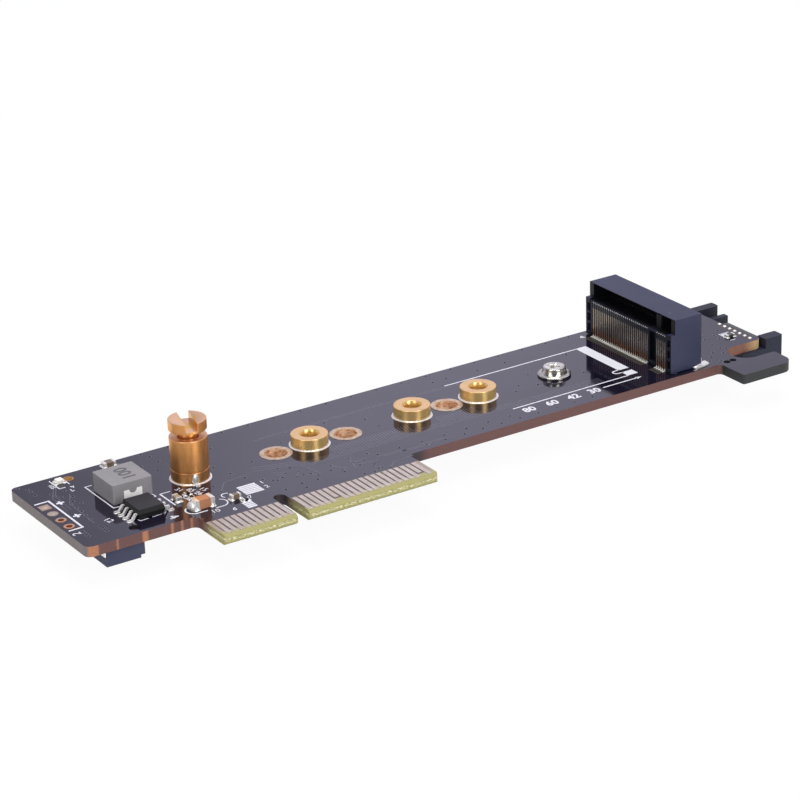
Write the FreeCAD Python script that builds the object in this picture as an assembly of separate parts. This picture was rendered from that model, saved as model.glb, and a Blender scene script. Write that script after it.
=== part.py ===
"""Adapter card that carries a tall module socket and plugs into a four-lane card slot.

X runs along the card, Y from the tongue's tip to the far edge and Z up from the component side.
The origin is the middle of the key notch, on the line of the tongue's tip. Millimetres.
"""
import FreeCAD, Part
import math
import os

V = FreeCAD.Vector

# Board
board_thick = 1.57
board_width = 24.2
board_left = 29.8
board_right = 92.6
board_corner_r = 1.0
end_step_x = 1.1
end_step_y = 21.3
end_corner_r = 1.4

# Contact tongue
tongue_depth = 8.0
key_width = 1.9
key_depth = 7.4
short_side = 11.65
long_side = 21.65
tongue_root_r = 1.0
tongue_corner = 0.6
bevel_y = 0.45
bevel_z = 0.4

# Edge contacts
contact_pitch = 1.0
contact_width = 0.7
contact_start = 0.5
contact_end = 5.2
contact_thick = 0.05
contact_cut_back = 1.2
contact_key_gap = 0.05
short_upper_contacts = (17, 31)
short_lower_contacts = (1,)
short_count = 11
long_count = 21

# Retention hook and its notch, at the far end from the bracket
hook_near_y = 2.3
hook_left_x = 80.5
hook_right_x = 90.5
hook_corner = 2.0
notch_near_y = 7.15
notch_width = 5.4
notch_inner_x = 84.2

# Module positions: distances of the retention holes from each socket's datum
module_lengths = (30.0, 42.0, 60.0, 80.0)
upper_datum_x = 73.15
lower_datum_x = -22.6
module_mid_y = tongue_depth + board_width / 2

# Solder-in nuts, sleeve and cap screw
nut_od = 5.6
nut_height = 1.75
nut_bore = 2.5
nut_mouth = 2.9
spigot_od = 4.1
spigot_clear = 0.1
spigot_length = 1.35
ring_width = 0.25
ring_height = 0.22
sleeve_height = 4.95
sleeve_edge = 0.15
stud_od = 2.4
stud_length = 1.6
groove_height = 1.05
neck_od = 2.8
neck_depth = 2.4
cap_height = 1.55
cap_slot_width = 1.7
cap_slot_depth = 1.2
cap_slot_turn = -15.0

# Plated holes
hole_bore = 3.5
hole_pad_od = 4.9
plating = 0.05
barrel_wall = 0.12

# Fixing screw and the standoff that it holds under the board
screw_flange_od = 5.2
screw_flange_thick = 0.35
screw_head_od = 3.9
screw_head_height = 1.55
screw_shank_od = 2.5
screw_shank_reach = 2.9
recess_width = 0.62
recess_span = 2.2
recess_depth = 0.9
standoff_od = 5.5
standoff_height = 1.9

# Tall upper socket
socket_front_x = 71.6
socket_depth = 5.9
socket_height = 8.8
socket_foot = 0.15
socket_step_z = 6.4
socket_step_x = 0.8
socket_end_wall = 1.0
socket_row_gap = 0.64
socket_lid = 0.5
lid_edge = 0.1
lid_chamfer = 0.9
mouth_low_z = 6.05
mouth_depth = 3.9
comb_set_back = 0.1
comb_groove_width = 0.3
comb_groove_depth = 0.22
back_groove_depth = 0.35
rib_set_back = 1.05
recess_reach = 0.9
key_recess_width = 1.7
pocket_wall = 0.3
pocket_width = 0.85
pocket_low_z = 0.7
pocket_count = 3
pocket_height = 1.4
pocket_bar = 0.35
slot_gap = 1.15
slot_mid_z = 7.05

# Socket contacts
row_pitch = 0.5
key_from = 59
key_to = 66
last_position = 75
wire_width = 0.22
wire_thick = 0.15
foot_reach = 0.5
arm_reach = 4.0
arm_hook = 0.6
arm_rise = 0.45
low_arm_reach = 1.9
key_rib_width = 1.2

# Low lower socket
low_front_x = -20.4
low_depth = 6.0
low_height = 2.8
low_lid = 0.55
low_mouth_depth = 3.4
low_mouth_height = 1.45
low_nose = 0.65
low_nose_z = 0.45

# Locating pegs under both sockets, a thick one at the near end and a thin one at the far end
peg_end_inset = 0.8
peg_inset = 0.95
peg_radii = (0.8, 0.55)
peg_clear = 0.06
peg_length = 1.0

# Anchor tabs of both sockets
tab_width = 1.1
tab_length = 1.7
tab_thick = 0.2
tab_rise = 1.3

# Right-angle signal plug under the far end
plug_back_x = 88.2
plug_front_x = 96.2
plug_near_y = 11.9
plug_width = 18.0
plug_drop = 4.7
plug_near_wall = 2.05
plug_far_wall = 1.75
plug_floor = 0.9
plug_body_end = 91.3
blade_width = 9.6
blade_thick = 1.2
blade_set_back = 0.6
blade_tip_bevel = 0.3
pin_set_back = 1.5
blade_top = -2.75
leg_thick = 1.05
leg_top = -1.0
leg_far_gap = 1.45
wall_gap = 0.15
plug_pin_count = 7
plug_pin_pitch = 1.27
plug_pin_width = 0.5
plug_pin_thick = 0.12
plug_joint_x = 91.0
plug_joint_first_y = 13.75
plug_joint_r = 0.42
plug_joint_height = 0.2
plug_back_lip = 0.9

# Power inductor
coil_x = -17.1
coil_y = 21.35
coil_side = 6.3
coil_height = 2.9
coil_edge = 0.25
coil_tab_width = 2.9
coil_tab_height = 1.75
coil_tab_thick = 0.18
coil_tab_notch_r = 0.6
coil_tab_foot = 1.4

# Eight-lead regulator
chip_x = -17.75
chip_y = 13.9
chip_width = 4.2
chip_length = 4.9
chip_height = 1.4
chip_foot = 0.15
chip_draft = 0.15
lead_pitch = 1.27
lead_width = 0.42
lead_thick = 0.2
lead_span = 7.35
lead_foot = 0.9
lead_count = 4

# Chip capacitors and resistors: middle x, middle y, length, width, height, turned along Y
end_cap_share = 0.22
end_chamfer = 0.08
big_capacitor = (-10.3, 10.35, 3.2, 1.6, 1.4, False)
small_capacitors = (
    (-14.4, 31.05, 2.0, 1.25, 0.7, False),
    (-5.3, 9.9, 1.6, 0.8, 0.75, False),
    (-12.25, 14.35, 1.6, 0.8, 0.75, True),
    (89.0, 16.3, 1.6, 0.8, 0.45, False),
)
resistors = (
    (-10.3, 13.6, 1.0, 0.5, 0.35, False),
    (-4.4, 8.45, 1.0, 0.5, 0.35, False),
    (-10.1, 15.2, 1.0, 0.5, 0.35, False),
)

# Status lamp, and the bare ring round the peg hole beside it
lamp_x = -23.0
lamp_y = 29.9
lamp_length = 1.6
lamp_width = 0.9
lamp_base_height = 0.3
lamp_lens_height = 0.35
lamp_lens_length = 1.0
bare_pad_width = 0.2

# Four-hole header row at the near-left end
header_x = -28.55
header_y = 19.5
header_pitch = 2.54
header_count = 4
header_pad_r = 0.8
header_bore_r = 0.45
header_filled = 2
fill_dome = 0.12

os.makedirs("parts", exist_ok=True)

far_y = tongue_depth + board_width
under_z = -board_thick
row_first = row_pitch * (last_position - 1) / 4
socket_length = 2 * (row_first + wire_width / 2 + socket_row_gap + socket_end_wall)
socket_near_y = module_mid_y - socket_length / 2
socket_far_y = module_mid_y + socket_length / 2


def box(x0, x1, y0, y1, z0, z1):
    """Block between two opposite corners."""
    return Part.makeBox(x1 - x0, y1 - y0, z1 - z0, V(x0, y0, z0))


def rod(r, z0, z1, x=0.0, y=0.0):
    """Upright cylinder from z0 to z1."""
    return Part.makeCylinder(r, z1 - z0, V(x, y, z0))


def turned(points, x=0.0, y=0.0):
    """Solid of revolution about an upright axis from (radius, height) points."""
    wire = Part.makePolygon([V(r, 0, z) for r, z in points + points[:1]])
    solid = Part.Face(wire).revolve(V(0, 0, 0), V(0, 0, 1), 360)
    solid.translate(V(x, y, 0))
    return solid


def profile_along_y(points, y0, y1):
    """Prism of an (x, z) outline between two Y planes."""
    wire = Part.makePolygon([V(x, y0, z) for x, z in points + points[:1]])
    return Part.Face(wire).extrude(V(0, y1 - y0, 0))


def save(node, solids):
    """Write one node, as one solid or a group of separate ones."""
    shape = solids[0] if len(solids) == 1 else Part.makeCompound(solids)
    shape.exportStep("parts/" + node + ".step")


def rounded_outline(corners):
    """Closed wire through (x, y, radius) corners, each rounded by its own radius."""
    ends = []
    count = len(corners)
    for i, (x, y, r) in enumerate(corners):
        here = V(x, y, 0)
        before = V(*corners[i - 1][:2], 0) - here
        after = V(*corners[(i + 1) % count][:2], 0) - here
        before.normalize()
        after.normalize()
        half = before.getAngle(after) / 2
        if r == 0:
            ends.append((here, None, here))
            continue
        reach = r / math.tan(half)
        middle = before + after
        middle.normalize()
        arc_mid = here + middle * (r / math.sin(half) - r)
        ends.append((here + before * reach, arc_mid, here + after * reach))
    edges = []
    for i, (start, arc_mid, stop) in enumerate(ends):
        if arc_mid:
            edges.append(Part.Arc(start, arc_mid, stop).toShape())
        following = ends[(i + 1) % count][0]
        if (following - stop).Length > 1e-6:
            edges.append(Part.LineSegment(stop, following).toShape())
    return Part.Wire(edges)


# Board: one outline with the tongue, the key notch, the hook and its notch, then the drilled holes
tongue_left = -key_width / 2 - short_side
tongue_right = key_width / 2 + long_side
notch_far_y = notch_near_y + notch_width
notch_r = notch_width / 2


def upper_hole_x(length):
    return upper_datum_x - length


def lower_hole_x(length):
    return lower_datum_x + length


def header_places():
    top = header_y + header_pitch * (header_count - 1) / 2
    return [top - header_pitch * i for i in range(header_count)]


def peg_places(front_x, back_sign):
    """Middle and radius of a socket's two locating pegs, set back from its front face."""
    x = front_x + back_sign * peg_inset
    near_radius, far_radius = peg_radii
    return [(x, socket_near_y + peg_end_inset, near_radius), (x, socket_far_y - peg_end_inset, far_radius)]


def board_outline():
    corners = [
        (-board_left, tongue_depth, board_corner_r),
        (tongue_left, tongue_depth, tongue_root_r),
        (tongue_left, 0, tongue_corner),
        (tongue_right, 0, tongue_corner),
        (tongue_right, tongue_depth, tongue_root_r),
        (hook_left_x, tongue_depth, 0.8),
        (hook_left_x, hook_near_y, 0.4),
        (hook_right_x, hook_near_y, hook_corner),
        (hook_right_x, notch_near_y, 0.3),
        (notch_inner_x, notch_near_y, notch_r * 0.98),
        (notch_inner_x, notch_far_y, notch_r * 0.98),
        (board_right, notch_far_y, end_corner_r),
        (board_right, end_step_y, 0.3),
        (board_right - end_step_x, end_step_y, 0.3),
        (board_right - end_step_x, far_y, board_corner_r),
        (-board_left, far_y, board_corner_r),
    ]
    return rounded_outline(corners)


def board():
    blank = Part.Face(board_outline()).extrude(V(0, 0, board_thick))
    blank.translate(V(0, 0, under_z))
    key_r = key_width / 2
    key = box(-key_r, key_r, -1, key_depth - key_r, under_z - 1, 1)
    key = key.fuse(rod(key_r, under_z - 1, 1, 0, key_depth - key_r))
    blank = blank.cut(key)
    for z, step in ((0, -bevel_z), (under_z, bevel_z)):
        wedge = Part.makePolygon([V(0, 0, z), V(0, bevel_y, z), V(0, 0, z + step), V(0, 0, z)])
        wedge = Part.Face(wedge).extrude(V(tongue_right - tongue_left, 0, 0))
        wedge.translate(V(tongue_left, 0, 0))
        blank = blank.cut(wedge)
    drills = [rod(spigot_od / 2 + spigot_clear, under_z - 1, 1, upper_hole_x(d), module_mid_y)
              for d in module_lengths]
    drills += [rod(hole_bore / 2, under_z - 1, 1, lower_hole_x(d), module_mid_y)
               for d in module_lengths]
    drills += [rod(header_bore_r + barrel_wall, under_z - 1, 1, header_x, y) for y in header_places()]
    pegs = peg_places(socket_front_x, 1) + peg_places(low_front_x, -1)
    drills += [rod(r + peg_clear, under_z - 1, 1, x, y) for x, y, r in pegs]
    return blank.cut(Part.makeCompound(drills))


save("board", [board()])


# Edge contacts: plated strips on both faces of the tongue
def contact_centres():
    """Middle x of every contact, from the bracket end."""
    first = key_width / 2 + contact_pitch / 2 + contact_key_gap
    short = [-first - contact_pitch * i for i in reversed(range(short_count))]
    return short + [first + contact_pitch * i for i in range(long_count)]


def edge_contacts(z0, z1, cut_back):
    strips = []
    for number, x in enumerate(contact_centres(), start=1):
        start = contact_start + (contact_cut_back if number in cut_back else 0)
        half = contact_width / 2
        strips.append(box(x - half, x + half, start, contact_end, z0, z1))
    return strips


save("edge_contacts_upper", edge_contacts(0, contact_thick, short_upper_contacts))
save("edge_contacts_lower", edge_contacts(under_z - contact_thick, under_z, short_lower_contacts))


# Holes with copper: a flat ring on each face of the wide ones, and a lined barrel in the header's
def hole_ring(bore_r, pad_r, z, x, y):
    return rod(pad_r, z, z + plating, x, y).cut(rod(bore_r, z, z + plating, x, y))


def lined_hole(bore_r, pad_r, x, y):
    return turned([
        (bore_r, under_z - plating), (pad_r, under_z - plating), (pad_r, under_z),
        (bore_r + barrel_wall, under_z), (bore_r + barrel_wall, 0), (pad_r, 0),
        (pad_r, plating), (bore_r, plating)], x, y)


def square_lined_hole(bore_r, half, x, y):
    wall = rod(bore_r + barrel_wall, under_z, 0, x, y)
    for z in (under_z - plating, 0):
        wall = wall.fuse(box(x - half, x + half, y - half, y + half, z, z + plating))
    return wall.cut(rod(bore_r, under_z - 1, 1, x, y)).removeSplitter()


save("hole_rings", [hole_ring(hole_bore / 2, hole_pad_od / 2, z, lower_hole_x(d), module_mid_y)
                    for d in module_lengths for z in (0, under_z - plating)])
header_rings = [square_lined_hole(header_bore_r, header_pad_r, header_x, header_places()[0])]
header_rings += [lined_hole(header_bore_r, header_pad_r, header_x, y) for y in header_places()[1:]]
save("header_holes", header_rings)
fill = [(0, under_z - plating), (header_bore_r, under_z - plating), (header_bore_r, plating),
        (0, plating + fill_dome)]
save("header_solder", [turned(fill, header_x, y) for y in header_places()[:header_filled]])


# Solder-in nuts: a collar on the board and a spigot in the drilled hole, threaded right through
def solder_nut(x, y):
    bore_r = nut_bore / 2
    mouth = (nut_mouth - nut_bore) / 2
    return turned([
        (bore_r, -spigot_length), (spigot_od / 2, -spigot_length), (spigot_od / 2, 0),
        (nut_od / 2, 0), (nut_od / 2, nut_height - 0.08), (nut_od / 2 - 0.08, nut_height),
        (bore_r + mouth, nut_height), (bore_r, nut_height - mouth)], x, y)


def solder_ring(x, y):
    inner = nut_od / 2
    return turned([(inner, 0), (inner + ring_width, 0), (inner, ring_height)], x, y)


save("module_nuts", [solder_nut(upper_hole_x(d), module_mid_y) for d in module_lengths[:3]])
save("post_nut", [solder_nut(upper_hole_x(module_lengths[3]), module_mid_y)])
save("nut_solder", [solder_ring(upper_hole_x(d), module_mid_y) for d in module_lengths])

# Post: a sleeve screwed into its nut, and the slotted cap whose neck leaves a groove for the module
post_x = upper_hole_x(module_lengths[3])
sleeve_top = nut_height + sleeve_height
cap_z = sleeve_top + groove_height


def sleeve():
    r = nut_od / 2
    e = sleeve_edge
    neck_r = neck_od / 2
    floor_z = sleeve_top - neck_depth
    return turned([
        (0, nut_height - stud_length), (stud_od / 2, nut_height - stud_length),
        (stud_od / 2, nut_height), (r - e / 2, nut_height), (r, nut_height + e),
        (r, sleeve_top - e), (r - e, sleeve_top), (neck_r + e, sleeve_top),
        (neck_r, sleeve_top - e), (neck_r, floor_z), (0, floor_z)], post_x, module_mid_y)


def cap_screw():
    r = nut_od / 2
    e = sleeve_edge / 2
    top = cap_z + cap_height
    neck_low = sleeve_top - neck_depth
    body = turned([(0, neck_low), (neck_od / 2, neck_low), (neck_od / 2, cap_z), (r - e, cap_z),
                   (r, cap_z + e), (r, top - e), (r - e, top), (0, top)])
    half = cap_slot_width / 2
    slot = box(-half, half, -nut_od, nut_od, top - cap_slot_depth, top + 1)
    slot.rotate(V(0, 0, 0), V(0, 0, 1), cap_slot_turn)
    body = body.cut(slot)
    body.translate(V(post_x, module_mid_y, 0))
    return body


save("post_sleeve", [sleeve()])
save("post_cap_screw", [cap_screw()])

# Fixing screw through the plated hole, and the standoff that it pulls against the underside
screw_x = lower_hole_x(module_lengths[3])
seat_top = plating
standoff_top = under_z - plating


def fixing_screw():
    flange_r = screw_flange_od / 2
    head_r = screw_head_od / 2
    z0 = seat_top
    z1 = z0 + screw_flange_thick
    top = z0 + screw_head_height
    shank_low = z0 - screw_shank_reach
    body = turned([(0, shank_low), (screw_shank_od / 2 - 0.2, shank_low),
                   (screw_shank_od / 2, shank_low + 0.2),
                   (screw_shank_od / 2, z0), (flange_r - 0.08, z0), (flange_r, z0 + 0.1),
                   (flange_r - 0.1, z1), (head_r, z1), (head_r * 0.97, z1 + 0.45),
                   (head_r * 0.84, top - 0.3), (head_r * 0.6, top - 0.08), (0, top)])
    half = recess_span / 2
    arm = recess_width / 2
    low = top - recess_depth
    cross = box(-half, half, -arm, arm, low, top + 1).fuse(box(-arm, arm, -half, half, low, top + 1))
    core = Part.makeCone(arm * 0.6, half * 0.75, recess_depth + 0.2, V(0, 0, low))
    cross = cross.common(Part.makeCone(arm * 1.5, half * 1.05, recess_depth + 0.1, V(0, 0, low)))
    body = body.cut(cross.fuse(core))
    body.rotate(V(0, 0, 0), V(0, 0, 1), 32)
    body.translate(V(screw_x, module_mid_y, 0))
    return body


def lower_standoff():
    low = standoff_top - standoff_height
    r = standoff_od / 2
    bore_r = screw_shank_od / 2
    return turned([(bore_r, low + 0.2), (bore_r + 0.2, low), (r - 0.15, low), (r, low + 0.15),
                   (r, standoff_top), (bore_r, standoff_top)], screw_x, module_mid_y)


save("fixing_screw", [fixing_screw()])
save("lower_standoff", [lower_standoff()])


# Socket positions: odd ones in the row at the mouth, even ones in the row at the back
def row_places(first_number):
    """Middle y of the contacts of one row, leaving the key's positions out."""
    step = row_pitch / 2
    return [module_mid_y + row_first - step * (n - 1) for n in range(first_number, last_position + 1, 2)
            if not key_from <= n <= key_to]


key_mid_y = module_mid_y + row_first - row_pitch / 2 * ((key_from + key_to) / 2 - 1)
socket_back_x = socket_front_x + socket_depth
comb_x = socket_front_x + comb_set_back
mouth_top_z = socket_height - socket_lid
inner_near_y = socket_near_y + socket_end_wall
inner_far_y = socket_far_y - socket_end_wall


def upper_socket_housing():
    lid_x = socket_front_x + socket_step_x
    end = [(socket_front_x, socket_foot), (socket_back_x, socket_foot), (socket_back_x, socket_height),
           (lid_x, socket_height), (lid_x, socket_step_z), (socket_front_x, socket_step_z)]
    body = profile_along_y(end, socket_near_y, socket_far_y)
    front = box(socket_front_x - 1, comb_x, inner_near_y, inner_far_y, socket_foot - 1, mouth_top_z)
    mouth_x = lid_x + mouth_depth
    mouth = box(socket_front_x - 1, mouth_x, inner_near_y, inner_far_y, mouth_low_z, mouth_top_z)
    body = body.cut(front.fuse(mouth))
    edge_z = socket_height - lid_edge
    chamfer = [(lid_x - 1, mouth_top_z), (lid_x + lid_chamfer, mouth_top_z), (lid_x, edge_z),
               (lid_x - 1, edge_z)]
    body = body.cut(profile_along_y(chamfer, inner_near_y, inner_far_y))
    slot_half = slot_gap / 2
    back_slot = box(lid_x, socket_back_x - 0.8, inner_near_y, inner_far_y,
                    slot_mid_z - slot_half, slot_mid_z + slot_half)
    body = body.cut(back_slot)
    half = key_rib_width / 2
    rib_front = comb_x + rib_set_back + half
    rib = box(rib_front, mouth_x, key_mid_y - half, key_mid_y + half, mouth_low_z, mouth_top_z)
    rib = rib.fuse(rod(half, mouth_low_z, mouth_top_z, rib_front, key_mid_y))
    body = body.fuse(rib)
    grooves = []
    g = comb_groove_width / 2
    for y in row_places(1):
        groove_x = comb_x + comb_groove_depth
        grooves.append(box(comb_x - 1, groove_x, y - g, y + g, socket_foot - 1, mouth_low_z + 1))
        grooves.append(box(comb_x - 1, mouth_x, y - g, y + g, mouth_low_z - 0.3, mouth_low_z + 1))
    for y in row_places(2):
        groove_x = socket_back_x - back_groove_depth
        grooves.append(box(groove_x, socket_back_x + 1, y - g, y + g, socket_foot - 1, slot_mid_z))
    body = body.cut(Part.makeCompound(grooves))
    half = key_recess_width / 2
    recesses = [box(comb_x - 1, comb_x + recess_reach, key_mid_y - half, key_mid_y + half, pocket_low_z,
                    mouth_low_z - pocket_bar)]
    for y0 in (socket_near_y + pocket_wall, socket_far_y - pocket_wall - pocket_width):
        for i in range(pocket_count):
            z0 = pocket_low_z + i * (pocket_height + pocket_bar)
            recesses.append(box(socket_front_x - 1, comb_x + recess_reach, y0, y0 + pocket_width, z0,
                                z0 + pocket_height))
    body = body.cut(Part.makeCompound(recesses))
    pegs = [rod(r, -peg_length, socket_foot, x, y) for x, y, r in peg_places(socket_front_x, 1)]
    return body.fuse(pegs).removeSplitter()


def front_contact(y):
    """Wire that stands in its groove, with a foot on the board and a sprung arm in the mouth."""
    t = wire_thick
    x0 = comb_x + comb_groove_depth - t
    foot_x = x0 - foot_reach
    arm_z = mouth_low_z - 0.3
    tip_x = x0 + arm_reach
    bend_x = tip_x - arm_hook
    shape = [(foot_x, 0), (x0 + t, 0), (x0 + t, arm_z), (bend_x, arm_z), (tip_x, arm_z + arm_rise),
             (tip_x, arm_z + arm_rise + t), (bend_x - t / 2, arm_z + t), (x0, arm_z + t), (x0, t),
             (foot_x, t)]
    return profile_along_y(shape, y - wire_width / 2, y + wire_width / 2)


def back_contact(y):
    """Wire down the socket's back wall, with its foot on the board behind the housing."""
    t = wire_thick
    x1 = socket_back_x - back_groove_depth + t
    foot_x = x1 + foot_reach
    top_z = slot_mid_z - slot_gap / 2
    shape = [(x1 - t, 0), (foot_x, 0), (foot_x, t), (x1, t), (x1, top_z), (x1 - t, top_z)]
    return profile_along_y(shape, y - wire_width / 2, y + wire_width / 2)


def anchor_tab(x, y, z, turn, rise):
    """Pressed corner tab: a foot on the board and an upright leaf against the housing's end."""
    half = tab_width / 2
    foot = box(0, tab_length, -half, half, 0, tab_thick)
    leaf = box(0, tab_thick, -half, half, 0, rise)
    tab = foot.fuse(leaf).removeSplitter()
    if z < 0:
        tab.rotate(V(0, 0, 0), V(1, 0, 0), 180)
    tab.rotate(V(0, 0, 0), V(0, 0, 1), turn)
    tab.translate(V(x, y, z))
    return tab


save("upper_socket_housing", [upper_socket_housing()])
save("upper_socket_front_contacts", [front_contact(y) for y in row_places(1)])
save("upper_socket_back_contacts", [back_contact(y) for y in row_places(2)])
tab_inset = tab_width / 2 + 0.1
save("upper_socket_tabs", [anchor_tab(socket_back_x, y, 0, 0, tab_rise)
                           for y in (socket_near_y + tab_inset, socket_far_y - tab_inset)])

# Lower socket: the same length, low, its mouth facing the card's middle
low_back_x = low_front_x - low_depth
low_z = under_z - low_height


def lower_socket_housing():
    side = [(low_back_x, under_z), (low_back_x, low_z), (low_front_x - low_nose, low_z),
            (low_front_x - low_nose, low_z + low_nose_z), (low_front_x, low_z + low_nose_z),
            (low_front_x, under_z)]
    body = profile_along_y(side, socket_near_y, socket_far_y)
    lid_z = low_z + low_lid
    top = lid_z + low_mouth_height
    mouth = box(low_front_x - low_mouth_depth, low_front_x + 1, inner_near_y, inner_far_y, lid_z, top)
    body = body.cut(mouth)
    half = key_rib_width / 2
    rib = box(low_front_x - low_mouth_depth, low_front_x - low_nose, key_mid_y - half, key_mid_y + half,
              lid_z, top)
    pegs = [rod(r, under_z, under_z + peg_length, x, y) for x, y, r in peg_places(low_front_x, -1)]
    return body.fuse([rib] + pegs).removeSplitter()


def lower_front_contact(y):
    """Wire from the board, down the housing's front and back along the mouth's roof to a sprung tip."""
    t = wire_thick
    x0 = low_front_x
    z1 = under_z
    roof = low_z + low_lid + low_mouth_height
    bend_x = x0 - low_arm_reach + arm_hook
    tip_x = x0 - low_arm_reach
    shape = [(x0 + foot_reach, z1), (x0 + foot_reach, z1 - t), (x0 + t, z1 - t), (x0 + t, roof - t),
             (bend_x, roof - t), (tip_x, roof - t - arm_rise), (tip_x, roof - arm_rise),
             (bend_x, roof), (x0, roof), (x0, z1)]
    return profile_along_y(shape, y - wire_width / 2, y + wire_width / 2)


def lower_back_contact(y):
    t = wire_thick
    x1 = low_back_x
    shape = [(x1, under_z), (x1 - foot_reach, under_z), (x1 - foot_reach, under_z - t),
             (x1 - 0.25, under_z - t), (x1 - t, low_z + low_lid + 0.6), (x1, low_z + low_lid + 0.6)]
    return profile_along_y(shape, y - wire_width / 2, y + wire_width / 2)


save("lower_socket_housing", [lower_socket_housing()])
save("lower_socket_contacts", [lower_front_contact(y) for y in row_places(1)]
     + [lower_back_contact(y) for y in row_places(2)])
save("lower_socket_tabs", [anchor_tab(low_back_x, y, under_z, 180, tab_rise)
                           for y in (socket_near_y + tab_inset, socket_far_y - tab_inset)])

# Signal plug: a body under the board, two side walls past its end, and a blade with an upright leg
plug_far_y = plug_near_y + plug_width
plug_low_z = under_z - plug_drop
near_inner_y = plug_near_y + plug_near_wall
far_inner_y = plug_far_y - plug_far_wall
leg_far_y = far_inner_y - leg_far_gap
leg_near_y = leg_far_y - leg_thick
blade_near_y = leg_far_y - blade_width
blade_low = blade_top - blade_thick


def plug_housing():
    body = box(plug_back_x, plug_body_end, plug_near_y, plug_far_y, plug_low_z, under_z)
    floor = box(plug_body_end, plug_front_x, plug_near_y, plug_far_y, plug_low_z, plug_low_z + plug_floor)
    pieces = [floor]
    far_end_x = board_right - end_step_x
    for y0, y1, end_x in ((plug_near_y, near_inner_y, board_right), (far_inner_y, plug_far_y, far_end_x)):
        pieces.append(box(plug_body_end, plug_front_x, y0, y1, plug_low_z, under_z))
        pieces.append(box(end_x + wall_gap, plug_front_x, y0, y1, under_z, 0))
    body = body.fuse(pieces).removeSplitter()
    front = [e for e in body.Edges if abs(e.BoundBox.XMin - plug_front_x) < 1e-6
             and abs(e.BoundBox.XMax - plug_front_x) < 1e-6 and e.BoundBox.ZLength > 2]
    body = body.makeFillet(0.3, front)
    back = box(plug_back_x - 1, plug_back_x + plug_back_lip, near_inner_y, far_inner_y, plug_low_z - 1,
               blade_low)
    return body.cut(back)


def plug_blade():
    tip = plug_front_x - blade_set_back
    c = blade_tip_bevel
    blade = [(plug_body_end, blade_low), (tip - c, blade_low), (tip, blade_low + c),
             (tip, blade_top - c), (tip - c, blade_top), (plug_body_end, blade_top)]
    tongue = profile_along_y(blade, blade_near_y, leg_near_y)
    leg = box(plug_body_end, plug_front_x, leg_near_y, leg_far_y, blade_low, under_z)
    raised_x = board_right - end_step_x + wall_gap
    raised = box(raised_x, plug_front_x, leg_near_y, leg_far_y, under_z, leg_top)
    return tongue.fuse([leg, raised]).removeSplitter()


def plug_pin_places():
    middle = (blade_near_y + leg_near_y) / 2
    return [middle + plug_pin_pitch * (i - (plug_pin_count - 1) / 2) for i in range(plug_pin_count)]


save("signal_plug_housing", [plug_housing()])
save("signal_plug_blade", [plug_blade()])
half_pin = plug_pin_width / 2
save("signal_plug_contacts", [
    box(plug_body_end, plug_front_x - pin_set_back, y - half_pin, y + half_pin, blade_top,
        blade_top + plug_pin_thick) for y in plug_pin_places()])


def pin_joint(x, y):
    r = plug_joint_r
    return turned([(0, 0), (r, 0), (r * 0.4, plug_joint_height), (0, plug_joint_height)], x, y)


save("signal_plug_joints", [
    pin_joint(plug_joint_x, plug_joint_first_y + plug_pin_pitch * i) for i in range(plug_pin_count)])


# Power inductor: a pressed block with a tab wrapped up each of two opposite sides
def coil_body():
    half = coil_side / 2
    body = box(coil_x - half, coil_x + half, coil_y - half, coil_y + half, 0, coil_height)
    upright = [e for e in body.Edges if e.BoundBox.ZLength > coil_height / 2]
    body = body.makeFillet(coil_edge, upright)
    for side in (-1, 1):
        y = coil_y + side * half
        w = coil_tab_width / 2
        pocket = box(coil_x - w, coil_x + w, y - coil_tab_thick, y + coil_tab_thick, -1, coil_tab_height)
        foot_y = y - side * coil_tab_foot
        under = box(coil_x - w, coil_x + w, min(y, foot_y), max(y, foot_y), -1, coil_tab_thick)
        body = body.cut(pocket.fuse(under))
    return body


def coil_tab(side):
    half = coil_side / 2
    w = coil_tab_width / 2
    y_out = coil_y + side * half
    y_in = y_out - side * coil_tab_thick
    leaf = box(coil_x - w, coil_x + w, min(y_in, y_out), max(y_in, y_out), 0, coil_tab_height)
    foot_y = y_out - side * coil_tab_foot
    foot = box(coil_x - w, coil_x + w, min(y_out, foot_y), max(y_out, foot_y), 0, coil_tab_thick)
    bite_y = y_out - coil_tab_foot
    bite_mid = V(coil_x, bite_y, coil_tab_height)
    bite = Part.makeCylinder(coil_tab_notch_r, 2 * coil_tab_foot, bite_mid, V(0, 1, 0))
    return leaf.cut(bite).fuse(foot).removeSplitter()


def notch_fill(side):
    """Part of the block that shows through the tab's half-round notch."""
    y_out = coil_y + side * coil_side / 2
    y_in = y_out - side * coil_tab_thick
    r = coil_tab_notch_r
    plug = Part.makeCylinder(r, coil_tab_thick, V(coil_x, min(y_in, y_out), coil_tab_height), V(0, 1, 0))
    return plug.common(box(coil_x - r, coil_x + r, min(y_in, y_out), max(y_in, y_out), 0, coil_tab_height))


save("inductor_body", [coil_body().fuse([notch_fill(-1), notch_fill(1)]).removeSplitter()])
save("inductor_tabs", [coil_tab(side) for side in (-1, 1)])


# Regulator: a drafted moulding and eight bent leads
def drafted_block(x, y, width, length, low, high, draft):
    """Moulding that is widest at its parting line, where the leads leave it."""
    parting = (low + high) / 2
    levels = ((low, draft), (parting, 0), (high, draft))
    rings = []
    for z, inset in levels:
        w = width / 2 - inset
        d = length / 2 - inset
        corner = [V(x - w, y - d, z), V(x + w, y - d, z), V(x + w, y + d, z), V(x - w, y + d, z)]
        rings.append(Part.makePolygon(corner + corner[:1]))
    lower = Part.makeLoft(rings[:2], True, True)
    upper = Part.makeLoft(rings[1:], True, True)
    return lower.fuse(upper)


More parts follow.
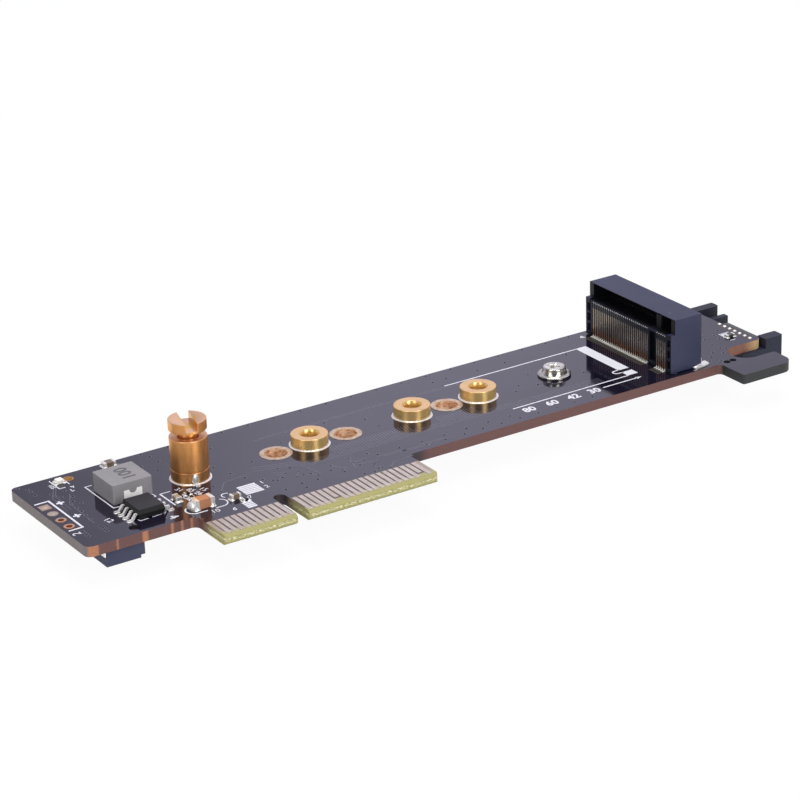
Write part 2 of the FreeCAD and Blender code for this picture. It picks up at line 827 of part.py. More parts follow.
def regulator_lead(side, y):
    t = lead_thick
    parting = (chip_foot + chip_height + chip_foot) / 2
    out = lead_span / 2
    knee = chip_width / 2 + 0.35
    shape = [(chip_width / 2, parting + t / 2), (knee, parting + t / 2), (out - lead_foot + 0.22, t),
             (out, t), (out, 0), (out - lead_foot, 0), (knee - t, parting - t / 2),
             (chip_width / 2, parting - t / 2)]
    shape = [(chip_x + side * x, z) for x, z in shape]
    return profile_along_y(shape, y - lead_width / 2, y + lead_width / 2)


lead_places = [chip_y + lead_pitch * (i - (lead_count - 1) / 2) for i in range(lead_count)]
save("regulator_body", [drafted_block(chip_x, chip_y, chip_width, chip_length, chip_foot,
                                      chip_foot + chip_height, chip_draft)])
save("regulator_leads", [regulator_lead(side, y) for side in (-1, 1) for y in lead_places])


# Chip components: a ceramic block between two metal end caps
def chip_parts(place):
    x, y, length, width, height, along_y = place
    cap = length * end_cap_share
    skin = 0.03
    block = box(-length / 2 + cap, length / 2 - cap, -width / 2, width / 2, skin, height - skin)
    ends = []
    for side in (-1, 1):
        x0, x1 = sorted((side * (length / 2 - cap), side * length / 2))
        end = box(x0, x1, -width / 2 - skin, width / 2 + skin, 0, height)
        outer = [e for e in end.Edges if abs(abs(e.CenterOfMass.x) - length / 2) < 1e-6]
        ends.append(end.makeChamfer(min(end_chamfer, cap * 0.4), outer))
    for piece in [block] + ends:
        if along_y:
            piece.rotate(V(0, 0, 0), V(0, 0, 1), 90)
        piece.translate(V(x, y, 0))
    return block, ends


big_block, big_ends = chip_parts(big_capacitor)
save("bulk_capacitor_body", [big_block])
save("bulk_capacitor_ends", big_ends)
for name, places in (("capacitor", small_capacitors), ("resistor", resistors)):
    made = [chip_parts(place) for place in places]
    save(name + "_bodies", [block for block, ends in made])
    save(name + "_ends", [end for block, ends in made for end in ends])


# Status lamp: a white base with its clear lens, and two metal ends
def lamp_base():
    half = lamp_length / 2 - 0.25
    side = lamp_width / 2
    return box(lamp_x - half, lamp_x + half, lamp_y - side, lamp_y + side, 0, lamp_base_height)


def lamp_lens():
    half = lamp_lens_length / 2
    z0 = lamp_base_height
    lens = box(lamp_x - half, lamp_x + half, lamp_y - lamp_width / 2, lamp_y + lamp_width / 2, z0,
               z0 + lamp_lens_height)
    tops = [e for e in lens.Edges if abs(e.BoundBox.ZMin - z0 - lamp_lens_height) < 1e-6]
    return lens.makeFillet(0.15, tops)


def lamp_end(side):
    x0, x1 = sorted((lamp_x + side * (lamp_length / 2 - 0.25), lamp_x + side * lamp_length / 2))
    return box(x0, x1, lamp_y - lamp_width / 2, lamp_y + lamp_width / 2, 0, lamp_base_height)


save("lamp_base", [lamp_base()])
save("lamp_lens", [lamp_lens()])
save("lamp_ends", [lamp_end(-1), lamp_end(1)])
pad_x, pad_y, pad_peg_r = peg_places(low_front_x, -1)[1]
pad_inner_r = pad_peg_r + peg_clear
save("bare_pad", [hole_ring(pad_inner_r, pad_inner_r + bare_pad_width, 0, pad_x, pad_y)])
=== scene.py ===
import bpy
import bmesh
import math
import numpy as np
from mathutils import Matrix, Vector


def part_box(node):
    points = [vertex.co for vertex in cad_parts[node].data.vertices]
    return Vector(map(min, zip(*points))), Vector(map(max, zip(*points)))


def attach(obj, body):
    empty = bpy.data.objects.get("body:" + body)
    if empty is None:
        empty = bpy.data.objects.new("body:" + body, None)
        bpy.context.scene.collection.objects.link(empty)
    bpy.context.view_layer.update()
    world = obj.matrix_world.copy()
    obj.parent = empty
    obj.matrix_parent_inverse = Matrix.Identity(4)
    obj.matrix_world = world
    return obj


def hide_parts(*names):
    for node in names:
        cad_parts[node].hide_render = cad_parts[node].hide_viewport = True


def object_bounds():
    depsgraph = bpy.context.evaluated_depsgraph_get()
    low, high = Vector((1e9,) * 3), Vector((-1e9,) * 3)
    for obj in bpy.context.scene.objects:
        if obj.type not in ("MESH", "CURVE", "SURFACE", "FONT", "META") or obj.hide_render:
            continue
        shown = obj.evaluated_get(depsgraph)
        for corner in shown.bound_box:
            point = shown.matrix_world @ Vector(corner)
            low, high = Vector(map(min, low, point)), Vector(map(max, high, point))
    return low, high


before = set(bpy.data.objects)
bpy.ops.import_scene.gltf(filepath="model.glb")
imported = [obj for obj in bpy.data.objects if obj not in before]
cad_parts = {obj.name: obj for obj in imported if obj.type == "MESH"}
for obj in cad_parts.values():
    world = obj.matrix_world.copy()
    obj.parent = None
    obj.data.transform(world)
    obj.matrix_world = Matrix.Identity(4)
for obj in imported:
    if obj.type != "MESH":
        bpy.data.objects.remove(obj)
cad_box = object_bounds()

# Camera
# The card is seen from above its near left corner through a long lens, from about 0.4 m away. The place,
# the three turns and the lens are fitted to the card's standard distances.
camera_place = (-0.181453, -0.315160, 0.168404)
camera_turn = math.radians(32.1295)
camera_dip = math.radians(22.6814)
camera_roll = math.radians(-1.9532)
camera_lens = 129.2127

camera_data = bpy.data.cameras.new("camera")
camera_data.lens = camera_lens
camera_data.sensor_width = 36
camera_data.clip_start = 0.01
camera_data.clip_end = 20
camera = bpy.data.objects.new("camera", camera_data)
bpy.context.collection.objects.link(camera)
turn = Matrix.Rotation(-camera_turn, 4, "Z") @ Matrix.Rotation(math.pi / 2 - camera_dip, 4, "X")
camera.matrix_world = Matrix.Translation(camera_place) @ turn @ Matrix.Rotation(camera_roll, 4, "Z")
bpy.context.scene.camera = camera
bpy.context.scene.view_settings.view_transform = "Standard"


# Studio
# A plain pale floor under the card, a pale room round it, two low soft lamps on the camera's side and a
# third overhead. Glossy surfaces see the room bright beyond the card, and dimmer to its left and right.
class Shading:
    """A tree of shader nodes. Every node comes from its node method."""

    def __init__(self, tree):
        self.tree = tree

    def feed(self, slot, item):
        """Links a Value or a socket into a slot, or writes a plain number or colour there."""
        item = item.socket if isinstance(item, Value) else item
        if isinstance(item, bpy.types.NodeSocket):
            self.tree.links.new(item, slot)
        else:
            slot.default_value = (*item, 1) if slot.type == "RGBA" else item

    def node(self, kind, settings=None, inputs=None):
        """Adds one node, settings first, then a value or link for each named socket. Returns its outputs."""
        node = self.tree.nodes.new("ShaderNode" + kind)
        for label, value in (settings or {}).items():
            setattr(node, label, value)
        for label, item in (inputs or {}).items():
            self.feed(node.inputs[label], item)
        return node.outputs


class Value:
    """A number that varies over a surface. Arithmetic on it adds Math nodes to its shading."""

    def __init__(self, shading, socket):
        self.shading = shading
        self.socket = socket

    def math(self, operation, *terms):
        """Applies one operation of the Math node to the terms in order."""
        result = self.shading.node("Math", {"operation": operation}, dict(enumerate(terms)))
        return Value(self.shading, result[0])

    def __add__(self, other):
        return self.math("ADD", self, other)

    def __sub__(self, other):
        return self.math("SUBTRACT", self, other)

    def __rsub__(self, other):
        return self.math("SUBTRACT", other, self)

    def __mul__(self, other):
        return self.math("MULTIPLY", self, other)

    __radd__ = __add__
    __rmul__ = __mul__

    def size(self):
        return self.math("ABSOLUTE", self)

    def least(self, other):
        return self.math("MINIMUM", self, other)

    def most(self, other):
        return self.math("MAXIMUM", self, other)

    def rise(self, low, high):
        """Goes smoothly from 0 at low to 1 at high, or down where low is the larger."""
        ends = {"Value": self, "From Min": low, "From Max": high}
        result = self.shading.node("MapRange", {"interpolation_type": "SMOOTHSTEP"}, ends)
        return Value(self.shading, result[0])

    def within(self, low, high, edge):
        """1 between two values and 0 outside, with soft edges."""
        return self.rise(low - edge, low + edge) * self.rise(high + edge, high - edge)

    def blend(self, low, high):
        """Colour that goes from low to high as the number goes from 0 to 1."""
        return self.shading.node("Mix", {"data_type": "RGBA"}, {0: self, 6: low, 7: high})[2]


class Finish(Shading):
    """One surface finish. Constants go straight on the shader's sockets, and patterns are linked to them."""

    def __init__(self, name, **constants):
        self.material = bpy.data.materials.new(name)
        self.material.use_nodes = True
        super().__init__(self.material.node_tree)
        self.shader = self.tree.nodes["Principled BSDF"]
        for label, value in constants.items():
            self.feed(self.shader.inputs[label.replace("_", " ")], value)
        place = self.node("TexCoord")
        self.place = self.node("VectorMath", {"operation": "SCALE"}, {0: place["Object"], "Scale": 1000})[0]
        self.x, self.y, self.z = (Value(self, part) for part in self.node("SeparateXYZ", {}, {0: self.place}))
        facing = self.node("SeparateXYZ", {}, {0: place["Normal"]})
        self.nx, self.ny, self.nz = (Value(self, part) for part in facing)

    def noise(self, scale, detail=2.0, stretch=(1, 1, 1)):
        """Cloudy value from 0 to 1; scale counts its cells per millimetre."""
        spread = self.node("VectorMath", {"operation": "MULTIPLY"}, {0: self.place, 1: stretch})[0]
        return Value(self, self.node("TexNoise", {}, {"Vector": spread, "Scale": scale, "Detail": detail})[0])

    def away(self, x, y):
        """Distance in millimetres from the upright line through a point."""
        level = self.node("VectorMath", {"operation": "MULTIPLY"}, {0: self.place, 1: (1, 1, 0)})[0]
        gap = self.node("VectorMath", {"operation": "DISTANCE"}, {0: level, 1: (x, y, 0)})
        return Value(self, gap["Value"])

    def color(self, item):
        self.feed(self.shader.inputs["Base Color"], item)
        return self

    def roughness(self, item):
        self.feed(self.shader.inputs["Roughness"], item)
        return self

    def metallic(self, item):
        self.feed(self.shader.inputs["Metallic"], item)
        return self

    def bump(self, height, depth):
        """Relief of the given depth in millimetres, from a height that runs from 0 to 1."""
        relief = self.node("Bump", {}, {"Height": height, "Strength": 1.0, "Distance": depth / 1000})
        self.feed(self.shader.inputs["Normal"], relief[0])
        return self


floor_z = cad_box[0][2]
floor_reach = 6.0
floor_grey = (0.9, 0.9, 0.9)
paper_white = (1.0, 1.0, 1.0)
floor_seen = 0.95
floor_mirrored = 0.45

floor_mesh = bpy.data.meshes.new("floor")
floor_corners = [(a * floor_reach, b * floor_reach, floor_z) for a, b in ((-1, -1), (1, -1), (1, 1), (-1, 1))]
floor_mesh.from_pydata(floor_corners, [], [(0, 1, 2, 3)])
floor = bpy.data.objects.new("floor", floor_mesh)
bpy.context.collection.objects.link(floor)
skin = Finish("pale_floor", Base_Color=floor_grey, Roughness=0.3, Specular_IOR_Level=0.6)
ray = skin.node("LightPath")
glowing = Value(skin, ray["Is Camera Ray"]) * floor_seen + Value(skin, ray["Is Glossy Ray"]) * floor_mirrored
glow = skin.node("Emission", {}, {"Color": paper_white, "Strength": 1.0})[0]
mixed = skin.node("MixShader", {}, {0: glowing, 1: skin.shader.outputs[0], 2: glow})[0]
skin.feed(skin.tree.nodes["Material Output"].inputs[0], mixed)
floor_mesh.materials.append(skin.material)

room_light = 0.48
room_gleam = (1.13, 1.10, 1.30)
room_dark = 0.06
room_left = 0.46
room_right = 0.64

room = bpy.data.worlds.new("room")
room.use_nodes = True
bpy.context.scene.world = room
sky = Shading(room.node_tree)
ray = sky.node("LightPath")
toward = sky.node("TexCoord")["Generated"]


def leaning(heading):
    """How far the looked-at direction leans towards a level heading, as their dot product."""
    return Value(sky, sky.node("VectorMath", {"operation": "DOT_PRODUCT"}, {0: toward, 1: heading})["Value"])


ahead = leaning((math.sin(camera_turn), math.cos(camera_turn), 0)).rise(-0.25, 0.3)
sideways = leaning((math.cos(camera_turn), -math.sin(camera_turn), 0))
beyond = sideways.rise(-0.15, -0.02) * (1 - room_left) + room_left
beyond = beyond - sideways.rise(0.02, 0.14) * (1 - room_right)
glossy = Value(sky, ray["Is Glossy Ray"])
seen = Value(sky, ray["Is Camera Ray"]).most(Value(sky, ray["Is Transmission Ray"]))
plain = room_light + (ahead * beyond * (1 - room_dark) + room_dark - room_light) * glossy
backdrop = room.node_tree.nodes["Background"]
sky.feed(backdrop.inputs["Strength"], plain + (1 - plain) * seen)
sky.feed(backdrop.inputs["Color"], glossy.blend(paper_white, room_gleam))

card_middle = Vector((0.033, 0.02, 0))


def soft_lamp(name, azimuth, height, distance, width, tall, power):
    """Soft lamp that looks at the card's middle, its azimuth in degrees measured round from the camera."""
    angle = camera_turn + math.pi + math.radians(azimuth)
    place = card_middle + Vector((math.sin(angle) * distance, math.cos(angle) * distance, height))
    data = bpy.data.lights.new(name, "AREA")
    data.shape = "RECTANGLE"
    data.size = width
    data.size_y = tall
    data.energy = power
    lamp = bpy.data.objects.new(name, data)
    lamp.rotation_mode = "QUATERNION"
    lamp.rotation_quaternion = (card_middle - place).to_track_quat("-Z", "Y")
    lamp.location = place
    bpy.context.collection.objects.link(lamp)


soft_lamp("left_lamp", azimuth=40, height=0.5, distance=0.85, width=0.4, tall=0.8, power=3.0)
soft_lamp("right_lamp", azimuth=-40, height=0.5, distance=0.85, width=0.4, tall=0.8, power=5.5)
soft_lamp("top_lamp", azimuth=180, height=1.15, distance=0.02, width=0.7, tall=0.6, power=6.5)

# Board
# One sheet of glass laminate with a dark glossy mask on both faces. Its routed edges show the bare
# laminate: reddish brown along the side, orange where copper runs out, yellow-green round the tongue.
mask_color = (0.006, 0.005, 0.013)
pour_color = (0.009, 0.007, 0.017)
mask_tint = (0.86, 0.82, 1.0)
mask_index = 1.52
# Dark brown painted shade between the contact pads.
gap_shade = (0.085, 0.062, 0.050)
gap_beige = (0.300, 0.240, 0.200)
tip_color = (0.330, 0.300, 0.115)
side_brown = (0.108, 0.048, 0.039)
side_copper = (0.420, 0.170, 0.070)
side_lime = (0.300, 0.280, 0.100)
side_straw = (0.660, 0.620, 0.400)
side_straw_end = (0.700, 0.600, 0.420)
side_gold = (0.420, 0.270, 0.120)
side_green = (0.018, 0.021, 0.016)
side_grey = (0.150, 0.126, 0.120)
end_green = (0.055, 0.062, 0.050)
notch_brown = (0.032, 0.022, 0.022)
peg_gold = (0.60, 0.36, 0.12)
# Near-black painted shade in the hole of the nearer peg.
peg_hole_shade = (0.012, 0.010, 0.010)
gold_peg = (-21.35, 30.3)
shaded_peg = (-21.35, 9.9)
bare_from_y = 5.4
copper_stripes = ((-29.9, -28.0, 0.25), (-25.2, -24.95, 0.2), (-21.2, -20.3, 0.2), (-16.7, -16.3, 0.2),
                  (-15.1, -14.8, 0.2), (-13.6, -13.3, 0.2))


def dress(finish, *nodes):
    """Gives solids that keep their shape a finish in place of their plain one."""
    for node in nodes:
        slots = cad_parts[node].data.materials
        slots.clear()
        slots.append(finish.material)


skin = Finish("board_mask_and_laminate", Specular_Tint=mask_tint, IOR=mask_index)
side = skin.nz.size().rise(0.95, 0.6)
stripes = skin.x.within(*copper_stripes[0])
for stripe in copper_stripes[1:]:
    stripes = stripes.most(skin.x.within(*stripe))
stripes = stripes * skin.y.rise(12.0, 10.0)
layers = skin.noise(1.0, 3.0, (1.2, 1.2, 14.0))
routed = (stripes * 0.8 + (layers - 0.5) * 0.5).blend(side_brown, side_copper)
rounded_end = skin.x.rise(82.0, 85.5) * skin.y.within(7.6, 14.0, 0.4)
corner = (skin.x.rise(22.2, 22.6) * skin.x.rise(26.4, 24.2)).most(skin.x.within(-1.3, 1.3, 0.2))
# Patches of the routed edge: the hook tab's end, the left end, the tongue's corners and two pegs' ends.
# The nearer peg's hole is near-black with painted shade.
for mask, tone in ((rounded_end * skin.x.rise(92.4, 88.0) * 0.3, side_copper),
                   (rounded_end * skin.x.rise(88.5, 91.5), side_gold),
                   (skin.x.rise(91.6, 92.4) * skin.y.rise(14.2, 13.2), side_straw_end),
                   (skin.nx.rise(-0.55, -0.85) * skin.x.rise(-28.0, -28.6), side_grey),
                   (corner * skin.y.rise(5.0, 6.4) * skin.y.rise(10.2, 9.6), notch_brown),
                   (skin.x.rise(78.4, 80.0) * skin.y.rise(7.95, 7.2), side_green),
                   (skin.away(*gold_peg).rise(1.0, 0.9), peg_gold),
                   (skin.away(*shaded_peg).rise(1.2, 1.1), peg_hole_shade)):
    routed = mask.blend(routed, tone)
short_of_hook = skin.x.rise(60.0, 50.0)
frayed = skin.noise(2.2, 4.0, (1.0, 1.0, 3.0)).rise(0.44, 0.6) * skin.z.within(-0.95, -0.5, 0.12)
edges = (skin.y.rise(6.8, 2.6) * short_of_hook).blend(routed, frayed.blend(side_lime, side_straw))
coated = skin.noise(0.08, 1.0).rise(0.45, 0.5).blend(mask_color, pour_color)
outer_gaps = skin.x.rise(21.75, 21.95).most(skin.x.rise(-11.9, -12.05))
# Between the contact pads the dark brown is painted shade along the copper's edges; the outer gaps are beige.
tongue_face = skin.y.rise(1.55, 1.25).blend(outer_gaps.blend(gap_shade, gap_beige), tip_color)
bare = skin.y.rise(bare_from_y + 0.05, bare_from_y - 0.05) * short_of_hook
bare_end = skin.x.rise(91.9, 92.05) * skin.y.within(13.9, 21.2, 0.3)
faces = bare_end.blend(bare.blend(coated, tongue_face), end_green)
skin.color(side.blend(faces, edges))
skin.roughness(side * 0.45 + bare * 0.3 + bare_end * 0.4 + 0.07)
peel = skin.noise(1.6, 2.0) * (1 - side) * 0.12
weave = layers * side + skin.noise(6.0, 3.0) * side * 0.5
skin.bump(peel + weave, 0.03)
dress(skin, "board")

# Copper rings of the wide holes
# Flat pads of bare copper, a little tarnished, round the holes where a lower module's screw would go.
# Each hole is lined with rough plated copper, which is a thin skin on the drilled wall.
mid_y = 20.1
module_lengths = np.array([30.0, 42.0, 60.0])
lower_module_x = -22.6
hole_centres = [(x, mid_y) for x in lower_module_x + module_lengths]
hole_radius = 1.75
hole_steps = 72
lining = 0.05
lining_top = 0.05
lining_low = -1.62
copper_pink = (0.66, 0.53, 0.39)
copper_brown = (0.56, 0.40, 0.26)
copper_dark = (0.56, 0.24, 0.11)
copper_bright = (0.95, 0.66, 0.44)


def lattice(rows, columns, wrap_rows):
    """Quads of a grid of points whose columns close on themselves, and its rows too where asked."""
    row, column = np.meshgrid(np.arange(rows if wrap_rows else rows - 1), np.arange(columns), indexing="ij")
    here = row * columns
    below = (row + 1) % rows * columns
    beside = (column + 1) % columns
    return np.stack((here + column, here + beside, below + beside, below + column), -1).reshape(-1, 4)


def spun(profile, centre, steps=72, ripple=None):
    """Turns (radius, height) points about an upright line: x = cx + r cos t, y = cy + r sin t, z = h.
    A profile that starts on the line is open, and any other closes on itself. ripple(t, h) is added to r."""
    radius, height = (column[:, None] for column in np.array(profile, float).T)
    angle = np.linspace(0, 2 * math.pi, steps, endpoint=False)[None, :]
    radius = np.repeat(radius, steps, 1)
    height = np.repeat(height, steps, 1)
    if ripple:
        radius = radius + ripple(angle, height)
    points = np.stack([centre[0] + radius * np.cos(angle), centre[1] + radius * np.sin(angle), height], -1)
    return points.reshape(-1, 3), lattice(len(profile), steps, profile[0][0] > 0).tolist()


def joined(parts):
    """Puts several sets of points and faces together as one."""
    points, faces, count = [], [], 0
    for part_points, part_faces in parts:
        points.append(np.asarray(part_points, float))
        faces += [[corner + count for corner in face] for face in part_faces]
        count += len(part_points)
    return np.concatenate(points), faces


def show(name, shape, finish, replaces=(), crisp=35):
    """Makes a piece of points in millimetres, welded, with outward faces, that rides on the card."""
    mesh = bpy.data.meshes.new(name)
    mesh.from_pydata((shape[0] * 0.001).tolist(), [], shape[1])
    body = bmesh.new()
    body.from_mesh(mesh)
    bmesh.ops.remove_doubles(body, verts=body.verts, dist=1e-7)
    bmesh.ops.recalc_face_normals(body, faces=body.faces)
    body.to_mesh(mesh)
    body.free()
    mesh.shade_smooth()
    mesh.set_sharp_from_angle(angle=math.radians(crisp))
    mesh.materials.append(finish.material)
    piece = bpy.data.objects.new(name, mesh)
    bpy.context.collection.objects.link(piece)
    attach(piece, "root")
    if replaces:
        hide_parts(*replaces)
    return piece


skin = Finish("tarnished_copper", Metallic=1.0)
tarnish = skin.noise(1.6, 4.0).rise(0.38, 0.66)
skin.color(tarnish.blend(copper_pink, copper_brown)).roughness(tarnish * 0.2 + 0.34)
skin.bump(skin.noise(2.0, 3.0), 0.008)
dress(skin, "hole_rings")


def lining_ripple(angle, height):
    """Rough wall: the sum of three sine waves that run round and up the hole, times 0.012 mm."""
    waves = np.sin(9 * angle + 4 * height) + np.sin(17 * angle - 7 * height) + np.sin(5 * angle + 11 * height)
    return 0.012 * waves


lining_wall = [(hole_radius - lining, z) for z in np.linspace(lining_top, lining_low, 14)]
lining_back = [(hole_radius + lining * 0.2, z) for z in (lining_low, lining_top)]


def lined(centre):
    """Inner rough wall and smooth back wall of one lining, closed at both rims."""
    inner, _ = spun(lining_wall, centre, hole_steps, lining_ripple)
    outer, _ = spun(lining_back, centre, hole_steps)
    faces = lattice(len(lining_wall) + len(lining_back), hole_steps, True)
    return np.concatenate([inner, outer]), faces.tolist()


skin = Finish("rough_copper_lining", Metallic=0.5)
crust = skin.noise(1.4, 4.0, (1.0, 1.0, 2.6)).rise(0.36, 0.64)
skin.color(crust.blend(copper_dark, copper_bright)).roughness(0.55 - crust * 0.3)
skin.bump(skin.noise(2.6, 5.0), 0.12)
show("hole_linings", joined([lined(centre) for centre in hole_centres]), skin)

# Traces and small plated holes
# Copper runs under the mask show as faint ridges, and the plated holes that join the layers show as
# dark dots in a low rim, whose black is painted shade in the holes. The mask covers both. Each is sunk
# a hundredth of a millimetre in the board.
bite = 0.01
trace_width = 0.15
trace_rise = 0.010
trace_tone = (0.078, 0.073, 0.098)
hole_shade = (0.002, 0.002, 0.002)


def ribbon(route, width, high):
    """Flat strip along a route: each point is set off by half the width along the middle of the two runs'
    normals, divided by the cosine of half the turn. It is closed from just under the face to high."""
    route = np.array(route, float)
    runs = np.diff(route, axis=0)
    runs /= np.linalg.norm(runs, axis=1, keepdims=True)
    before = np.vstack([runs[:1], runs])
    middle = before + np.vstack([runs, runs[-1:]])
    middle /= np.linalg.norm(middle, axis=1, keepdims=True)
    reach = width / 2 / np.maximum(0.4, np.sum(middle * before, axis=1, keepdims=True))
    aside = np.stack([-middle[:, 1], middle[:, 0]], -1) * reach
    count = len(route)
    edges = [(route + aside, -bite), (route - aside, -bite), (route - aside, high), (route + aside, high)]
    points = np.stack([np.column_stack([edge, np.full(count, z)]) for edge, z in edges], 1)
    last = 4 * count - 4
    faces = lattice(count, 4, False).tolist() + [[0, 1, 2, 3], [last, last + 1, last + 2, last + 3]]
    return points.reshape(-1, 3), faces


def stepped(y, step, starts_x, stops_x):
    """Run along the board that shifts sideways by a small step at a third and at two thirds of its length."""
    first = starts_x + (stops_x - starts_x) / 3
    second = starts_x + (stops_x - starts_x) * 2 / 3
    return [(starts_x, y), (first, y), (first + abs(step), y + step), (second, y + step),
            (second + abs(step), y), (stops_x, y)]


trace_routes = [stepped(y, 0.15, 8.0, 62.0) for y in (13.5, 13.95, 14.4, 14.85)]
trace_routes += [[(x, 15.25), (x + 0.2, 17.3)] for x in np.r_[14.6:28.4:0.46, 33.2:40.0:0.46]]
trace_routes += [stepped(25.9, 0.12, 6.8, 44.0), stepped(26.3, 0.12, 8.0, 42.0)]
trace_routes += [stepped(10.1, -0.4, 18.5, 30.0), stepped(9.7, -0.4, 19.5, 31.0)]
trace_routes += [
    [(1.9, 17.7), (4.0, 17.0), (9.0, 15.5)], [(1.5, 17.2), (3.8, 16.4), (8.4, 15.1)],
    [(1.4, 16.4), (3.2, 15.9), (7.8, 14.6)], [(3.5, 14.2), (5.0, 13.3)], [(3.4, 13.5), (4.6, 12.6)],
    [(6.6, 12.4), (5.7, 11.2)], [(6.8, 11.1), (8.3, 9.7)], [(9.4, 14.8), (8.4, 12.5), (9.0, 10.2)],
    [(11.5, 11.4), (12.9, 9.4), (12.2, 9.3)], [(14.8, 10.5), (16.5, 10.5)],
    [(15.2, 9.3), (16.6, 9.3), (18.4, 9.2)], [(15.0, 12.1), (14.4, 10.0), (13.9, 8.3)],
    [(16.4, 7.6), (17.2, 6.6)], [(18.2, 5.9), (19.6, 7.1), (23.1, 7.5)],
    [(-24.3, 29.0), (-26.2, 25.6), (-26.4, 20.5)], [(-23.9, 29.0), (-25.6, 25.9), (-25.8, 20.5)],
    [(-23.5, 25.5), (-25.0, 22.6), (-25.2, 14.6)], [(-5.7, 13.2), (-3.9, 15.6), (1.0, 16.2)],
    [(78.4, 26.0), (83.0, 26.0), (84.6, 24.4), (84.6, 21.0)]]
hole_places = [(x, 31.65) for x in np.arange(-8.83, 71.0, 4.55)] + [(-28.8, 31.5), (-13.2, 30.8)]
hole_places += [(x, 9.4) for x in np.arange(26.7, 57.0, 3.35)]
hole_places += [(x, 10.9) for x in np.arange(22.9, 43.5, 3.95)]
hole_places += [(x, 28.9) for x in (40.7, 43.2, 49.0, 54.2)]
hole_places += [(x, 13.1 - 0.6 * i) for x in (-27.8, -25.0) for i in range(4)]
hole_places += [
    (7.3, 25.8), (24.6, 23.0), (24.9, 19.6), (9.9, 22.9), (18.9, 25.5), (3.0, 19.6), (4.8, 15.3),
    (6.3, 14.4), (9.4, 14.8), (8.4, 12.5), (4.9, 13.2), (3.8, 12.1), (6.6, 12.4), (5.7, 11.2), (6.8, 11.1),
    (7.7, 10.8), (8.3, 9.7), (7.5, 8.5), (11.5, 11.4), (10.7, 10.1), (12.2, 9.3), (12.0, 8.5), (15.0, 12.1),
    (14.8, 10.5), (15.2, 9.3), (16.5, 10.5), (18.0, 12.0), (19.1, 10.8), (18.4, 9.2), (16.9, 8.2),
    (16.4, 7.6), (13.9, 8.3), (14.0, 6.2), (16.6, 6.6), (15.6, 6.0), (17.2, 6.6), (18.2, 5.9), (2.7, 11.7),
    (2.2, 12.1), (2.0, 8.2), (5.0, 8.7), (4.8, 7.1), (1.1, 13.2), (-0.6, 15.3), (50.5, 19.9), (48.9, 18.2),
    (54.3, 22.8), (53.1, 18.4), (59.2, 24.7), (63.8, 25.8), (61.6, 18.1), (-27.8, 30.4), (-27.7, 29.4),
    (-27.8, 27.9), (-25.7, 26.9), (-25.6, 26.0), (-25.0, 25.2), (-23.6, 24.4), (-24.3, 22.9), (-25.0, 22.1),
    (-24.9, 20.6), (-23.6, 21.7), (-24.9, 19.1), (-25.0, 17.6), (-25.1, 16.0), (-23.7, 26.8), (-8.1, 30.2),
    (-7.9, 27.9), (-9.4, 25.2), (-10.8, 27.8), (0.6, 27.5), (-2.5, 21.2), (-1.6, 17.8), (-5.7, 15.4),
    (-5.7, 13.2), (89.2, 23.5), (85.6, 19.4), (85.0, 17.6), (89.0, 19.4), (87.3, 18.2), (87.2, 16.7),
    (84.5, 15.1), (84.7, 13.3), (85.3, 12.6), (82.6, 12.5), (83.8, 11.4), (81.2, 11.2), (79.9, 9.9),
    (81.6, 9.2), (80.9, 8.6)]
wide_places = [(81.9, 8.15), (83.1, 8.2)]
rim_profile = [(0.18, -bite), (0.18, 0.012), (0.21, 0.018), (0.27, 0.018), (0.33, 0.0), (0.33, -bite)]
pit_profile = [(0, 0.004), (0.12, 0.005), (0.20, 0.010), (0.20, -bite), (0, -bite)]
wide_pit = [(0, 0.006), (0.55, 0.006), (0.55, -bite), (0, -bite)]

skin = Finish("mask_over_copper", Specular_Tint=mask_tint, IOR=mask_index)
skin.color((skin.noise(0.6, 3.0) * 0.3 + 0.7).blend(pour_color, trace_tone))
skin.roughness(skin.noise(2.0, 2.0) * 0.08 + 0.06).bump(skin.noise(1.6, 2.0), 0.004)
show("mask_traces", joined([ribbon(route, trace_width, trace_rise) for route in trace_routes]), skin)
show("hole_rims", joined([spun(rim_profile, place, 16) for place in hole_places]), skin)
# The pits' near-black is painted shade of the holes.
skin = Finish("plated_hole_pits", Specular_IOR_Level=0.05)
skin.color(skin.noise(3.0).blend(hole_shade, mask_color)).roughness(skin.noise(5.0) * 0.2 + 0.7)
pits = [spun(pit_profile, place, 12) for place in hole_places]
pits += [spun(wide_pit, place, 20) for place in wide_places]
show("hole_pits", joined(pits), skin)

# White print
# Screen-printed ink, a hundredth or two of a millimetre thick, with slightly uneven cover. It shows
# the outline of a module between the screw and the tall socket, brackets, outlines and plain numbers.
ink_rise = 0.022
ink_white = (0.70, 0.70, 0.77)
ink_thin = (0.52, 0.52, 0.58)
outline_width = 0.24
bracket_width = 0.30
fine_width = 0.17
capital_share = 0.72


def patch(outline):
    """Flat printed area: an outline of corners carried straight from just under the face to the ink's top."""
    count = len(outline)
    points = [(x, y, z) for z in (-bite, ink_rise) for x, y in outline]
    sides = [[i, (i + 1) % count, count + (i + 1) % count, count + i] for i in range(count)]
    return points, sides + [list(range(count)), list(range(count, 2 * count))]


def bar(x0, x1, y0, y1):
    """Printed rectangle between two lines along x and two along y."""
    return patch([(x0, y0), (x1, y0), (x1, y1), (x0, y1)])


def line(*route, width=fine_width):
    """Printed line of one width along a route."""
    return ribbon(route, width, ink_rise)


def arc(x, y, radius, start, stop, steps=14):
    """Points on a part circle: x + r cos t, y + r sin t, from one angle in degrees to another."""
    t = np.radians(np.linspace(start, stop, steps))
    return np.stack([x + radius * np.cos(t), y + radius * np.sin(t)], -1).tolist()


def plus(x, y, reach=0.6, half=0.17):
    """Plain cross as one outline: three corners of one arm, turned by a quarter each time."""
    arm = [(reach, half), (reach, -half), (half, -half)]
    corners = []
    for quarter in range(4):
        corners += [(x + a, y + b) for a, b in arm]
        arm = [(b, -a) for a, b in arm]
    return patch(corners)


